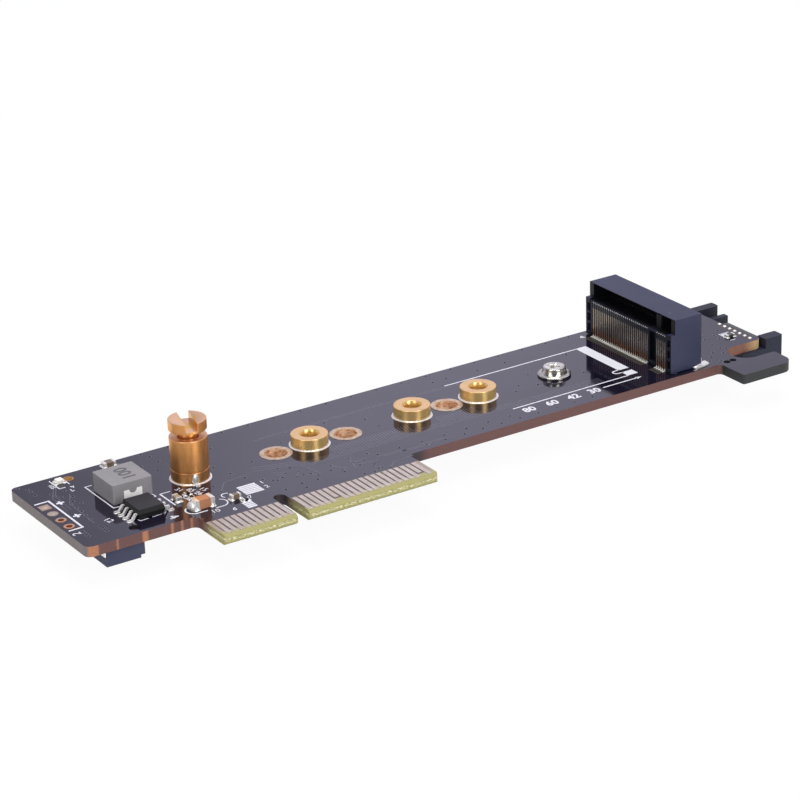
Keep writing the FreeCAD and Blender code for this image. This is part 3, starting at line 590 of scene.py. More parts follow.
def digits(text, x, y, height, turn=0, weight=0.0, base=0.0, rise=ink_rise):
    """Plain upright digits of a height, turned in degrees and centred on a point, as thin closed slabs."""
    curve = bpy.data.curves.new("digits", "FONT")
    curve.body = text
    curve.size = height / capital_share
    curve.extrude = (rise + bite) / 2
    curve.offset = weight
    curve.resolution_u = 3
    curve.align_x = "CENTER"
    curve.align_y = "CENTER"
    written = bpy.data.objects.new("digits", curve)
    bpy.context.collection.objects.link(written)
    bpy.context.view_layer.update()
    mesh = bpy.data.meshes.new_from_object(written.evaluated_get(bpy.context.evaluated_depsgraph_get()))
    flat = np.empty(3 * len(mesh.vertices))
    mesh.vertices.foreach_get("co", flat)
    turning = np.array(Matrix.Rotation(math.radians(turn), 3, "Z"))
    points = flat.reshape(-1, 3) @ turning.T + (x, y, base + (rise - bite) / 2)
    faces = [list(face.vertices) for face in mesh.polygons]
    bpy.data.objects.remove(written)
    bpy.data.meshes.remove(mesh)
    bpy.data.curves.remove(curve)
    return points, faces


module_marks = [
    line((41.3, 26.55), (66.5, 26.65), width=outline_width),
    line((44.5, 12.8), (66.3, 12.95), width=outline_width),
    bar(66.35, 68.3, 15.5, 26.8), bar(66.25, 68.2, 13.0, 14.6),
    line((66.6, 15.62), (65.6, 15.62), *arc(65.6, 15.07, 0.55, 90, 270)[1:-1], (65.6, 14.52), (66.6, 14.52),
         width=outline_width),
    line((60.3, 11.35), (66.9, 11.4), width=outline_width),
    patch([(66.6, 11.78), (67.75, 11.42), (66.6, 11.02)]),
    patch([(69.7, 30.2), (70.4, 30.9), (70.6, 29.8)]),
]
module_marks += [digits(text, x, 11.15, 1.5, weight=0.07)
                 for text, x in (("80", 46.4), ("60", 50.6), ("42", 54.6), ("30", 58.5))]
header_marks = [
    line((-29.35, 25.0), (-27.12, 25.05), (-27.12, 14.4), (-29.3, 14.33), width=bracket_width),
    plus(-26.05, 23.5), plus(-26.05, 18.25), digits("2", -28.75, 12.9, 1.3, 90),
]
lamp_marks = [
    line((-23.95, 31.2), (-23.95, 27.9), (-23.0, 27.9)), line((-22.0, 31.2), (-22.0, 28.6)),
    digits("105", -24.55, 29.2, 0.75, -90), digits("4", -22.05, 27.55, 0.9, 200),
    digits("7", -22.75, 26.5, 0.9, 200),
]
power_marks = [
    line((-19.64, 26.22), (-20.72, 26.22), (-20.72, 17.45), (-19.6, 17.25), width=fine_width + 0.03),
    line((-14.08, 18.4), (-14.02, 17.35), (-14.6, 17.25)), line((-17.7, 11.5), (-16.2, 11.6)),
    line((-19.82, 12.0), (-19.66, 11.38), (-18.35, 11.43)), line((-15.7, 11.6), (-15.3, 11.95)),
    line((-13.2, 17.6), (-11.6, 17.6)),
    line(*arc(-11.9, 10.0, 1.25, 120, 270), (-10.4, 8.75), width=fine_width + 0.05),
    line(*arc(-7.9, 10.0, 1.25, 60, -90), (-9.0, 8.75)), line(*arc(-5.8, 11.6, 0.7, 40, 230)),
    bar(-13.35, -13.1, 13.0, 17.6),
]
power_marks += [bar(-3.4, -0.45, y, y + 0.4) for y in np.arange(10.0, 13.0, 0.52)]
power_marks += [bar(-5.4, -3.9, y, y + 0.4) for y in np.arange(5.95, 8.0, 0.55)]
power_marks += [digits(*number) for number in (
    ("12", -23.2, 14.2, 1.1, -75), ("4", -15.4, 9.7, 1.5, -80, 0.015), ("31", -10.3, 17.3, 0.95, -70),
    ("85", -9.0, 16.2, 0.95, -70), ("26", -8.6, 14.6, 0.95, -70), ("64", -9.9, 15.2, 0.8, -70),
    ("15", -7.4, 15.4, 0.95, -70), ("90", -7.6, 17.0, 0.8, -70), ("52", -10.9, 14.4, 0.8, -70),
    ("10", -9.6, 7.9, 1.0), ("6", -7.1, 6.9, 1.0, -20), ("7", -3.3, 9.1, 0.9), ("1", 0.5, 12.45, 0.95),
    ("2", 0.4, 10.8, 0.95))]
plug_marks = [
    patch([(88.05, 15.75), (88.05, 17.65), (89.6, 17.8)]), line((88.0, 14.9), (89.0, 14.9)),
    line((88.0, 17.9), (90.0, 17.9)),
]

skin = Finish("screen_printed_ink", Specular_IOR_Level=0.35)
cover = skin.noise(3.0, 4.0).rise(0.52, 0.75)
skin.color((cover * 0.7).blend(ink_white, ink_thin)).roughness(cover * 0.2 + 0.45)
skin.bump(skin.noise(8.0, 3.0), 0.006)
show("white_print", joined(module_marks + header_marks + lamp_marks + power_marks + plug_marks), skin)

# Solder-in nuts
# Turned brass collars on the board, with a spigot soldered in a drilled hole and a thread right
# through. Three are empty, and the fourth carries the post.
upper_module_x = 73.15
nut_centres = [(x, mid_y) for x in upper_module_x - module_lengths]
nut_radius = 2.8
nut_easing = 0.09
spigot_radius = 2.05
bore_radius = 1.25
mouth_width = 0.24
mouth_depth = 0.42
thread_pitch = 0.45
thread_depth = 0.06
turned_steps = 80
brass_gold = (0.95, 0.65, 0.25)
brass_deep = (0.66, 0.38, 0.16)
bore_brown = (0.72, 0.44, 0.13)
nut_face = (0.60, 0.37, 0.19)


def heights(node):
    """Lowest and highest level of a node's solids over the board's upper face, in millimetres."""
    return [corner[2] * 1000 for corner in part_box(node)]


def eased(profile, radius, steps=3):
    """Rounds each corner with a quadratic curve: (1-t)^2 before + 2t(1-t) corner + t^2 after."""
    points = np.array(profile, float)
    before = np.roll(points, 1, 0) - points
    after = np.roll(points, -1, 0) - points
    reach_before = np.linalg.norm(before, axis=1, keepdims=True)
    reach_after = np.linalg.norm(after, axis=1, keepdims=True)
    trim = np.minimum(radius, 0.45 * np.minimum(reach_before, reach_after))
    start = points + before / reach_before * trim
    stop = points + after / reach_after * trim
    t = np.linspace(0, 1, steps + 1)[None, :, None]
    curve = (1 - t) ** 2 * start[:, None] + 2 * t * (1 - t) * points[:, None] + t ** 2 * stop[:, None]
    if profile[0][0] > 0:
        return curve.reshape(-1, 2).tolist()
    return [profile[0]] + curve[1:-1].reshape(-1, 2).tolist() + [profile[-1]]


def turned(profile, pitch=0.11, depth=0.0016, step=0.0275):
    """Turning marks: points every step along each run that shows above the board, set off sideways by
    depth * sin(2 pi s / pitch)."""
    points = np.array(profile, float)
    starts, stops = (points, np.roll(points, -1, 0)) if profile[0][0] > 0 else (points[:-1], points[1:])
    rows = []
    for start, stop in zip(starts, stops):
        run = stop - start
        length = np.linalg.norm(run)
        shows = min(start[1], stop[1]) >= 0 and min(start[0], stop[0]) > bore_radius
        s = np.linspace(0, length, max(1, round(length / step)) if shows else 1, endpoint=False)[:, None]
        fade = np.minimum(1, np.minimum(s, length - s) / pitch)
        sideways = np.array([run[1], -run[0]]) / length
        rows.append(start + run * s / length + sideways * depth * fade * np.sin(2 * math.pi * s / pitch))
    return np.concatenate(rows).tolist() + ([] if profile[0][0] > 0 else [profile[-1]])


def thread(centre, low, high, steps=40):
    """Ridge of a thread inside a bore: a four-point section carried up a helix, z = low + pitch t / 2 pi,
    that fades in and out over half a turn."""
    turns = (high - low) / thread_pitch
    angle = np.linspace(0, 2 * math.pi * turns, int(steps * turns))[:, None]
    fade = np.minimum(1, np.minimum(angle, angle[-1] - angle) / math.pi)
    inward = np.array([0.0, 1.0, 1.0, 0.0])[None, :] * thread_depth * fade
    upward = np.array([-0.45, -0.1, 0.1, 0.45])[None, :] * thread_pitch
    reach = bore_radius + 0.02 - inward
    height = np.clip(low + thread_pitch * angle / (2 * math.pi) + upward * 0.96, low, high)
    points = np.stack([centre[0] + reach * np.cos(angle), centre[1] + reach * np.sin(angle), height], -1)
    last = 4 * len(angle) - 1
    faces = lattice(len(angle), 4, False).tolist() + [[0, 1, 2, 3], [last, last - 1, last - 2, last - 3]]
    return points.reshape(-1, 3), faces


def brass(name, centres, light, dark, face, dull=0.25, metal=0.66):
    """Turned brass: clouds and faint rings round each centre go from light to dark. Level faces take the
    face colour, and bores a brown one."""
    skin = Finish(name, Metallic=metal)
    across = skin.away(*centres[0])
    for centre in centres[1:]:
        across = across.least(skin.away(*centre))
    rings = skin.node("TexNoise", {"noise_dimensions": "1D"}, {"W": across + skin.z, "Scale": 5.0})
    rings = Value(skin, rings[0])
    cloud = skin.noise(0.5, 3.0).rise(0.35, 0.7)
    tone = (cloud * 0.3 + rings * 0.2).blend(light, dark)
    tone = (skin.nz.rise(0.55, 0.85) * 0.7).blend(tone, face)
    skin.color(across.rise(bore_radius + 0.2, bore_radius - 0.02).blend(tone, bore_brown))
    skin.roughness(rings * 0.05 + cloud * 0.05 + dull)
    return skin.bump(skin.noise(2.0, 2.0), 0.002)


nut_bottom, nut_top = heights("module_nuts")
mouth_low = nut_top - mouth_depth
nut_profile = [(bore_radius, nut_bottom), (spigot_radius, nut_bottom), (spigot_radius, 0), (nut_radius, 0),
               (nut_radius, nut_top), (bore_radius + mouth_width, nut_top), (bore_radius, mouth_low)]
nut_curve = turned(eased(nut_profile, nut_easing))
nuts = [spun(nut_curve, centre, turned_steps) for centre in nut_centres]
nuts += [thread(centre, nut_bottom + 0.1, mouth_low) for centre in nut_centres]
nut_finish = brass("turned_brass_nuts", nut_centres, brass_gold, brass_deep, nut_face)
show("threaded_nuts", joined(nuts), nut_finish, ["module_nuts"])

# Post
# A brass nut like the others, a sleeve screwed down on it, and a slotted cap screw. The cap stops
# short of the sleeve and leaves a groove in which the module's end is held.
longest_module = 80.0
post_centre = (upper_module_x - longest_module, mid_y)
post_low, sleeve_top = heights("post_sleeve")
cap_low, cap_top = heights("post_cap_screw")
sleeve_easing = 0.06
stem_radius = 1.2
neck_radius = 1.4
cap_height = 1.55
head_low = cap_top - cap_height
cap_edge = 0.06
slot_width = 1.7
slot_depth = 1.2
slot_turn = math.radians(-15)
post_gold = (0.88, 0.42, 0.14)
post_brown = (0.66, 0.30, 0.12)
post_face = (0.70, 0.47, 0.31)

post_finish = brass("turned_brass_post", [post_centre], post_gold, post_brown, post_face, 0.31, 0.9)
show("post_base", spun(nut_curve, post_centre, turned_steps), post_finish, ["post_nut"])
sleeve_profile = [(0, post_low), (stem_radius, post_low), (stem_radius, nut_top),
                  (nut_radius - 0.1, nut_top), (nut_radius, nut_top + 0.12), (nut_radius, sleeve_top - 0.1),
                  (nut_radius - 0.12, sleeve_top), (neck_radius + 0.35, sleeve_top),
                  (neck_radius + 0.05, sleeve_top - 0.3), (neck_radius + 0.05, cap_low - 0.02),
                  (0, cap_low - 0.02)]
sleeve = spun(turned(eased(sleeve_profile, sleeve_easing)), post_centre, turned_steps)
show("post_tube", sleeve, post_finish, ["post_sleeve"])

cap_profile = [(0, cap_low), (neck_radius, cap_low), (neck_radius, head_low), (nut_radius - 0.04, head_low),
               (nut_radius, head_low + 0.05), (nut_radius, cap_top - 0.05), (nut_radius - 0.05, cap_top),
               (0, cap_top)]
cap_shape = spun(turned(cap_profile), post_centre, turned_steps)
cap = show("post_cap", cap_shape, post_finish, ["post_cap_screw"])
slot_mesh = bpy.data.meshes.new("slot")
slot_body = bmesh.new()
bmesh.ops.create_cube(slot_body, size=0.001)
bmesh.ops.scale(slot_body, vec=(slot_width, 10, 2 * slot_depth), verts=slot_body.verts)
bmesh.ops.rotate(slot_body, cent=(0, 0, 0), matrix=Matrix.Rotation(slot_turn, 3, "Z"), verts=slot_body.verts)
bmesh.ops.translate(slot_body, vec=Vector((*post_centre, cap_top)) * 0.001, verts=slot_body.verts)
slot_body.to_mesh(slot_mesh)
slot_body.free()
slot_cutter = bpy.data.objects.new("slot", slot_mesh)
bpy.context.collection.objects.link(slot_cutter)
cut = cap.modifiers.new("slot", "BOOLEAN")
cut.object = slot_cutter
cut.operation = "DIFFERENCE"
cut.solver = "EXACT"
edge = cap.modifiers.new("edge", "BEVEL")
edge.width = cap_edge * 0.001
edge.segments = 2
edge.limit_method = "ANGLE"
edge.angle_limit = math.radians(50)
bpy.context.view_layer.update()
slotted = bpy.data.meshes.new_from_object(cap.evaluated_get(bpy.context.evaluated_depsgraph_get()))
cap.modifiers.clear()
cap.data = slotted
slotted.set_sharp_from_angle(angle=math.radians(35))
bpy.data.objects.remove(slot_cutter)

# Solder of the nuts
# A bright uneven fillet of tin, melted round each collar where it stands on the board, and one lump of
# the same tin up the side of the post's nut.
tin_white = (0.93, 0.92, 0.90)
tin_grey = (0.74, 0.71, 0.68)
ring_reach = 0.34
ring_rise = 0.13
ring_waver = 0.10
lump_turn = math.radians(-103)
lump_distance = 2.72
lump_place = (post_centre[0] + math.cos(lump_turn) * lump_distance,
              post_centre[1] + math.sin(lump_turn) * lump_distance, 0.85)

tin_finish = Finish("solder")
frost = tin_finish.noise(2.4, 4.0).rise(0.35, 0.7)
tin_finish.color(frost.blend(tin_white, tin_grey)).roughness(frost * 0.2 + 0.26).metallic(0.85 - frost * 0.3)
tin_finish.bump(tin_finish.noise(1.3, 2.0), 0.02)


def solder_fillet(centre, phase):
    """Ring that falls in a hollow curve from the collar to the board: reach * (1 - s) out at rise * s^2."""
    s = np.linspace(0, 1, 7)
    curve = np.stack([nut_radius + ring_reach * (1 - s), ring_rise * s ** 2 + 0.01], -1).tolist()
    curve = [(nut_radius - 0.02, 0.0)] + curve + [(nut_radius - 0.02, ring_rise)]

    def wander(angle, height):
        """Draws the foot in by waves of three and five round the ring, and the top not at all."""
        out = 0.5 + 0.25 * np.sin(3 * angle + phase) + 0.25 * np.sin(5 * angle + 2 * phase)
        return -ring_waver * out * np.clip(1 - height / ring_rise, 0, 1)
    return spun(curve, centre, 96, wander)


def lump(centre, sizes, phase, rows=24, columns=36):
    """Lump of tin: an ellipsoid of half sizes a, b, c whose radius swells and shrinks with two waves."""
    u = np.linspace(0, math.pi, rows)[:, None]
    v = np.linspace(0, 2 * math.pi, columns, endpoint=False)[None, :]
    swell = 1 + 0.10 * np.sin(3 * v + phase) * np.sin(u) ** 2
    swell = swell + 0.08 * np.sin(4 * u + 2 * v + phase) * np.sin(u)
    ball = np.stack([np.sin(u) * np.cos(v), np.sin(u) * np.sin(v), np.cos(u) * np.ones_like(v)], -1)
    points = np.array(centre) + ball * swell[..., None] * sizes
    return points.reshape(-1, 3), lattice(rows, columns, False).tolist()


fillets = [solder_fillet(centre, 1.7 * i) for i, centre in enumerate([*nut_centres, post_centre])]
show("nut_fillets", joined(fillets), tin_finish, ["nut_solder"])
show("post_solder_lump", lump(lump_place, (0.55, 0.35, 0.85), 1.0), tin_finish)

# Fixing screw
# A plated pan-head screw with a flange and a cross recess. It goes through the board into the
# standoff below, and the recess is pressed into its domed head.
screw_centre = (57.4, mid_y)
screw_tip, screw_top = heights("fixing_screw")
flange_radius = 2.6
head_radius = 1.95
dome_radius = 1.6
shank_radius = 1.25
recess_width = 0.55
recess_span = 1.9
recess_depth = 0.55
recess_flank = 0.12
recess_slope = 0.35
recess_turn = math.radians(32)
plate_white = (0.66, 0.64, 0.58)
plate_grey = (0.46, 0.45, 0.41)

dome = [(r, screw_top - 0.05 * (r / dome_radius) ** 2) for r in np.linspace(0, dome_radius, 34)]
screw_profile = dome + [(1.68, screw_top - 0.09), (1.74, screw_top - 0.17), (1.76, screw_top - 0.27),
                        (head_radius - 0.06, 0.72), (head_radius, 0.60), (head_radius + 0.12, 0.46),
                        (flange_radius - 0.08, 0.40), (flange_radius, 0.32), (flange_radius, 0.1),
                        (flange_radius - 0.06, 0.05), (shank_radius, 0.05), (shank_radius, screw_tip + 0.3),
                        (shank_radius - 0.3, screw_tip), (0, screw_tip)]
screw_points, screw_faces = spun(screw_profile, screw_centre, 120)


def recess_arm(across, along):
    """1 inside one arm of the cross and 0 outside, with a steep flank and a sloping end."""
    flank = np.clip((recess_width / 2 - across) / recess_flank, 0, 1)
    return flank * np.clip((recess_span / 2 - along) / recess_slope, 0, 1)


turning = np.array(Matrix.Rotation(recess_turn, 2))
one, other = np.abs((screw_points[:, :2] - screw_centre) @ turning).T
sunk = np.maximum(recess_arm(one, other), recess_arm(other, one)) * (screw_points[:, 2] > screw_top - 0.5)
screw_points[:, 2] -= recess_depth * sunk ** 0.8

skin = Finish("nickel_plated_screw", Metallic=1.0)
worn = skin.noise(1.6, 4.0).rise(0.38, 0.68)
skin.color(worn.blend(plate_white, plate_grey)).roughness(worn * 0.12 + 0.2)
skin.bump(skin.noise(1.5, 2.0), 0.008)
show("cross_screw", (screw_points, screw_faces), skin, ["fixing_screw"], 40)
dress(brass("standoff_brass", [screw_centre], brass_gold, brass_deep, nut_face), "lower_standoff")

# Sockets and plug
# Dark blue-grey moulded nylon with a soft satin face and a fine grain, and thin plated wires. The tall
# socket's front and mouth are painted near-black as shade. The wires of the upright socket show
# copper-coloured towards the board and white where solder wets them. A painted highlight whitens them
# where they bend over the comb, and painted shade darkens their sides and the parts inside the housing.
nylon_slate = (0.030, 0.035, 0.080)
nylon_dark = (0.019, 0.022, 0.056)
# Near-black painted shade for the tall socket's front and the inside of its mouth.
nylon_shade_black = (0.004, 0.005, 0.009)
nylon_pale = (0.045, 0.049, 0.090)
nylon_tint = (1.0, 0.94, 0.88)
plug_slate = (0.010, 0.015, 0.036)
plug_dark = (0.007, 0.009, 0.020)
wire_gold = (0.58, 0.52, 0.43)
wire_copper = (0.82, 0.36, 0.12)
wire_white = (0.95, 0.93, 0.88)
# Painted shade on the tall socket's wires: grey inside the housing and near-black along their edges.
wire_dim = (0.10, 0.10, 0.11)
wire_shade = (0.025, 0.022, 0.020)
wire_pitch = 0.5
wire_width = 0.22
first_wire_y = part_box("upper_socket_front_contacts")[0][1] * 1000 + wire_width / 2
joint_tin = (0.90, 0.88, 0.83)
joint_foot_shade = (0.16, 0.13, 0.11)


def nylon(name, face, shade, recess=None):
    """Moulded nylon: fine spark-eroded grain, slow changes of tone and a few pale scuffs. Where the recess
    function gives 1 it takes a near-black colour, painted shade."""
    skin = Finish(name, IOR=1.5, Specular_IOR_Level=0.36, Specular_Tint=nylon_tint)
    drift = skin.noise(0.12, 3.0).rise(0.35, 0.65)
    grain = skin.noise(9.0, 3.0)
    scuff = skin.noise(0.9, 4.0, (1.0, 0.3, 1.0)).rise(0.66, 0.74)
    tone = (drift * 0.6 + grain * 0.4 - scuff * 0.5).blend(face, shade)
    skin.color(recess(skin).blend(tone, nylon_shade_black) if recess else tone)
    skin.roughness(grain * 0.16 + 0.42 - scuff * 0.12)
    return skin.bump(grain, 0.008)


def socket_shade_mask(skin):
    """Painted shade: 1 on the tall socket's front and inside its mouth, and 0 on its top, ends and back."""
    inside = skin.x.within(71.9, 76.9, 0.05) * skin.y.within(10.05, 30.15, 0.04) * skin.z.rise(8.74, 8.66)
    return inside.most(skin.nx.rise(-0.4, -0.8) * skin.x.rise(73.0, 72.6))


dress(nylon("tall_socket_nylon", nylon_slate, nylon_dark, socket_shade_mask), "upper_socket_housing")
dress(nylon("low_socket_nylon", nylon_pale, nylon_slate), "lower_socket_housing")
dress(nylon("plug_nylon", plug_slate, plug_dark), "signal_plug_housing", "signal_plug_blade")

skin = Finish("socket_wires")
foot = skin.z.rise(0.42, 0.3)
# Painted shade: grey on the wires inside the housing and in a band just below their bend.
shaded_in_housing = skin.z.within(4.85, 5.72, 0.12).most(skin.x.rise(72.3, 72.6))
along_row = skin.y - first_wire_y
# Painted shade along both edges of each wire and on the sides that face along the row.
wire_edge_shade = along_row.math("PINGPONG", along_row, wire_pitch / 2).rise(0.045, 0.09) * 0.9
flank = skin.ny.size().rise(0.5, 0.8).most(wire_edge_shade) * (1 - foot)
# White at the foot is solder. White at the top of the bend, at the front, is a painted highlight.
bright = foot.most(skin.z.rise(5.74, 5.8) * skin.x.rise(72.6, 72.3))
plated = (skin.z.rise(2.4, 0.6) * 0.8 + skin.noise(1.0, 2.0) * 0.2).blend(wire_gold, wire_copper)
skin.color(bright.blend(flank.blend(shaded_in_housing.blend(plated, wire_dim), wire_shade), wire_white))
skin.metallic(0.8 - bright * 0.6).roughness(skin.noise(2.0, 2.0) * 0.2 + 0.2)
skin.bump(skin.noise(1.5, 2.0), 0.003)
dress(skin, "upper_socket_front_contacts", "upper_socket_back_contacts")

skin = Finish("low_socket_wires", Metallic=1.0)
skin.color(skin.noise(1.4, 3.0).blend(wire_gold, wire_white))
skin.roughness(skin.noise(4.0, 2.0) * 0.2 + 0.16).bump(skin.noise(6.0, 2.0), 0.004)
dress(skin, "lower_socket_contacts", "signal_plug_contacts")
dress(tin_finish, "upper_socket_tabs", "lower_socket_tabs")
skin = Finish("plug_joint_tin", Metallic=0.4)
# Dark brown at the joints' foot, where they meet the board, is painted shade.
skin.color(skin.z.rise(0.13, 0.07).blend(joint_tin, joint_foot_shade))
skin.roughness(skin.noise(1.6) * 0.2 + 0.3).bump(skin.noise(1.4, 2.0), 0.02)
dress(skin, "signal_plug_joints")

# Edge contacts
# Thin gold plating on the tongue's copper strips. It reflects the pale studio, with a faint brush of
# wipe marks along each strip.
plating_light = (0.58, 0.51, 0.44)
plating_warm = (0.48, 0.40, 0.31)

skin = Finish("edge_contact_gold", Metallic=0.9)
wipe = skin.noise(1.2, 3.0, (3.0, 0.4, 1.0)).rise(0.35, 0.7)
skin.color((wipe * 0.7).blend(plating_light, plating_warm)).roughness(wipe * 0.12 + 0.24).bump(wipe, 0.004)
dress(skin, "edge_contacts_upper", "edge_contacts_lower")

# Header row and bare ring
# Four plated holes with pink copper rings, orange inside, two of them filled with dull solder. Beside
# the lamp is a small bare ring with thin gold on it.
header_pink = (0.50, 0.38, 0.31)
header_orange = (0.70, 0.29, 0.12)
fill_grey = (0.46, 0.47, 0.39)
fill_dark = (0.30, 0.31, 0.25)
pad_gold = (0.42, 0.28, 0.11)

skin = Finish("header_ring_copper", Metallic=0.9)
barrel = skin.z.rise(0.0, -0.12).most(skin.y.rise(19.0, 18.0) * 0.55)
skin.color((barrel * 0.9 + skin.noise(1.5, 3.0) * 0.1).blend(header_pink, header_orange))
skin.roughness(skin.noise(2.0, 3.0) * 0.2 + 0.3).bump(skin.noise(1.6, 2.0), 0.006)
dress(skin, "header_holes")
skin = Finish("header_fill", Metallic=0.5)
skin.color(skin.y.rise(21.5, 22.5).blend(skin.noise(1.2, 3.0).blend(fill_grey, fill_dark), header_pink))
skin.roughness(skin.noise(1.5) * 0.2 + 0.35).bump(skin.noise(1.3, 2.0), 0.02)
dress(skin, "header_solder")
skin = Finish("bare_gold_ring", Metallic=0.9)
skin.color(skin.noise(1.5, 3.0).blend(pad_gold, header_orange))
skin.roughness(skin.noise(2.0) * 0.2 + 0.3).bump(skin.noise(1.6, 2.0), 0.006)
dress(skin, "bare_pad")

# Chips and small parts
# Inductor, regulator, capacitors, resistors and the lamp, at the left end and beside the latch. They are
# moulded resin, pressed ferrite and fired ceramic with tinned metal ends, soldered flat on the board.
chip_black = (0.006, 0.006, 0.007)
chip_grey = (0.014, 0.013, 0.015)
ferrite_light = (0.30, 0.285, 0.305)
ferrite_dark = (0.185, 0.175, 0.188)
ceramic_orange = (0.50, 0.22, 0.105)
ceramic_brown = (0.36, 0.15, 0.08)
ceramic_olive = (0.135, 0.115, 0.085)
ceramic_umber = (0.17, 0.10, 0.06)
ceramic_tan = (0.34, 0.26, 0.18)
ceramic_green = (0.045, 0.050, 0.045)
tan_capacitor = (-12.25, 14.35)
lamp_white = (0.86, 0.85, 0.80)
lamp_cream = (0.74, 0.72, 0.66)
lens_white = (0.94, 0.94, 0.90)
lens_cream = (0.86, 0.85, 0.78)
end_silver = (0.93, 0.92, 0.90)
end_dull = (0.70, 0.68, 0.64)
tab_white = (0.97, 0.97, 0.96)
tab_grey = (0.93, 0.93, 0.92)


def moulding(name, face, shade, roughness, cells, shine=0.5):
    """Moulded or fired body: a fine even grain in colour, gloss and relief."""
    skin = Finish(name, Specular_IOR_Level=shine)
    grain = skin.noise(cells, 4.0)
    skin.color((grain * 0.7 + skin.noise(0.5, 2.0) * 0.3).blend(face, shade))
    return skin.roughness(grain * 0.2 + roughness).bump(grain, 0.012)


dress(moulding("epoxy_black", chip_grey, chip_black, 0.34, 8.0, 0.3), "regulator_body", "resistor_bodies")
dress(moulding("ferrite_grey", ferrite_light, ferrite_dark, 0.5, 7.0), "inductor_body")
dress(moulding("orange_ceramic", ceramic_orange, ceramic_brown, 0.25, 2.5), "bulk_capacitor_body")
dress(moulding("lamp_white", lamp_white, lamp_cream, 0.4, 4.0), "lamp_base")
dress(moulding("lamp_resin", lens_white, lens_cream, 0.1, 3.0), "lamp_lens")

skin = Finish("olive_ceramic")
grain = skin.noise(2.5, 4.0)
fired = skin.away(*tan_capacitor).rise(1.3, 1.2).blend(grain.blend(ceramic_olive, ceramic_umber), ceramic_tan)
skin.color(skin.x.rise(80.0, 80.2).blend(fired, ceramic_green))
skin.roughness(grain * 0.2 + 0.25).bump(grain, 0.012)
dress(skin, "capacitor_bodies")

skin = Finish("inductor_tab_tin", Metallic=0.1)
skin.color(skin.noise(0.5, 2.0).blend(tab_white, tab_grey))
skin.roughness(skin.noise(0.7, 2.0) * 0.1 + 0.25).bump(skin.noise(0.6, 1.0), 0.01)
dress(skin, "inductor_tabs")

end_finish = Finish("tinned_ends")
dull = end_finish.noise(2.2, 4.0).rise(0.35, 0.7)
end_finish.color(dull.blend(end_silver, end_dull)).roughness(dull * 0.2 + 0.24).metallic(0.8 - dull * 0.3)
end_finish.bump(end_finish.noise(1.4, 2.0), 0.015)
dress(end_finish, "regulator_leads", "bulk_capacitor_ends", "capacitor_ends", "resistor_ends", "lamp_ends")

# Reflowed solder
# Each end cap, lead and tab sits in a small pool of tin that climbs its foot. A row of tinned pads lies
# in front of the tall socket, where its wires were soldered.
climbs = {"bulk_capacitor_ends": 0.5, "capacitor_ends": 0.45, "resistor_ends": 0.5, "lamp_ends": 0.5}
lead_foot = 0.85
pad_row_x = (70.25, 71.35)
pad_width = 0.28
pad_rise = 0.03
row_dark = (0.085, 0.085, 0.065)
row_light = (0.15, 0.14, 0.11)


def solid_boxes(node):
    """Lowest and highest corners, in millimetres, of each separate solid of a node."""
    body = bmesh.new()
    body.from_mesh(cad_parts[node].data)
    bmesh.ops.remove_doubles(body, verts=body.verts, dist=1e-7)
    waiting = set(body.verts)
    boxes = []
    while waiting:
        reached = [waiting.pop()]
        places = []
        while reached:
            corner = reached.pop()
            places.append(corner.co[:])
            beside = {link.other_vert(corner) for link in corner.link_edges} & waiting
            waiting -= beside
            reached += beside
        places = np.array(places) * 1000
        boxes.append((places.min(0).round(4).tolist(), places.max(0).round(4).tolist()))
    body.free()
    return sorted(boxes)


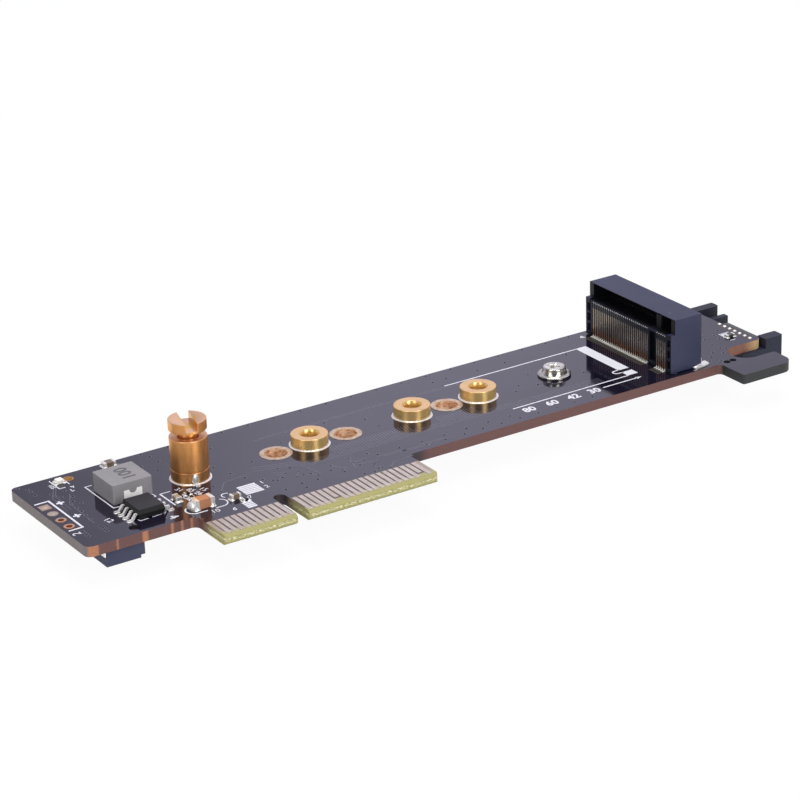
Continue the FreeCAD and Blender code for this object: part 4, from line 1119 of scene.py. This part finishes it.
def pool(low, high, rise, inset=(0.05, 0.05), reach=0.26, steps=28):
    """Hollow skirt round a box's foot: half sides grow by reach * s while the height falls as
    rise * (1 - s)^2. Its plan is a superellipse of power 4, x = a |cos t|^0.5 and y = b |sin t|^0.5."""
    middle = (np.array(low[:2]) + high[:2]) / 2
    half = (np.array(high[:2]) - low[:2]) / 2 - inset
    t = np.linspace(0, 2 * math.pi, steps, endpoint=False)
    across = np.sign(np.cos(t)) * np.sqrt(np.abs(np.cos(t)))
    along = np.sign(np.sin(t)) * np.sqrt(np.abs(np.sin(t)))
    s = np.linspace(0, 1, 6)
    grown = np.concatenate([[-1], s * reach, [reach, -1]])
    height = np.concatenate([[rise], rise * (1 - s) ** 2 + 0.006, [-bite, -bite]])
    half_x, half_y = np.where(grown < 0, 0, half[:, None] + grown)[:, :, None]
    points = np.stack([middle[0] + half_x * across, middle[1] + half_y * along,
                       height[:, None] * np.ones(steps)], -1)
    return points.reshape(-1, 3), lattice(len(grown), steps, False).tolist()


pools = []
for node, share in climbs.items():
    pools += [pool(low, high, share * high[2]) for low, high in solid_boxes(node)]
for low, high in solid_boxes("regulator_leads"):
    start = low[0] if low[0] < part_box("regulator_body")[0][0] * 1000 else high[0] - lead_foot
    pools.append(pool((start, low[1]), (start + lead_foot, high[1]), 0.10, (0.05, 0.03), 0.12))
pools += [pool(low, high, 0.7, (0.1, 0.1), 0.45) for low, high in solid_boxes("inductor_tabs")]
bulk_left_x = solid_boxes("bulk_capacitor_ends")[0][0][0]
pools.append(lump((bulk_left_x - 0.15, 10.35, 0.35), (0.55, 0.95, 0.75), 2.0))
pools.append(lump((77.3, 9.05, 0.12), (1.4, 0.4, 0.42), 3.0))
show("reflowed_solder", joined(pools), end_finish)

wire_y = sorted((low[1] + high[1]) / 2 for low, high in solid_boxes("upper_socket_front_contacts"))
pads = [ribbon([(pad_row_x[0], y), (pad_row_x[1], y)], pad_width, pad_rise) for y in wire_y]
skin = Finish("socket_pad_row", Metallic=0.6)
skin.color(skin.noise(1.2, 3.0).blend(row_dark, row_light))
skin.roughness(skin.noise(2.0) * 0.2 + 0.35).bump(skin.noise(1.4, 2.0), 0.01)
show("socket_pads", joined(pads), skin)

# Inductor mark
# A plain dark number stamped with ink on the block's top, a hundredth of a millimetre thick.
mark_rise = 0.012
block_top = heights("inductor_body")[1]

skin = Finish("stamped_mark")
skin.color(skin.noise(4.0, 3.0).blend(chip_black, ferrite_dark)).roughness(skin.noise(6.0) * 0.2 + 0.5)
show("inductor_mark", digits("100", -16.6, 21.3, 2.0, 90, 0.06, block_top, mark_rise), skin)
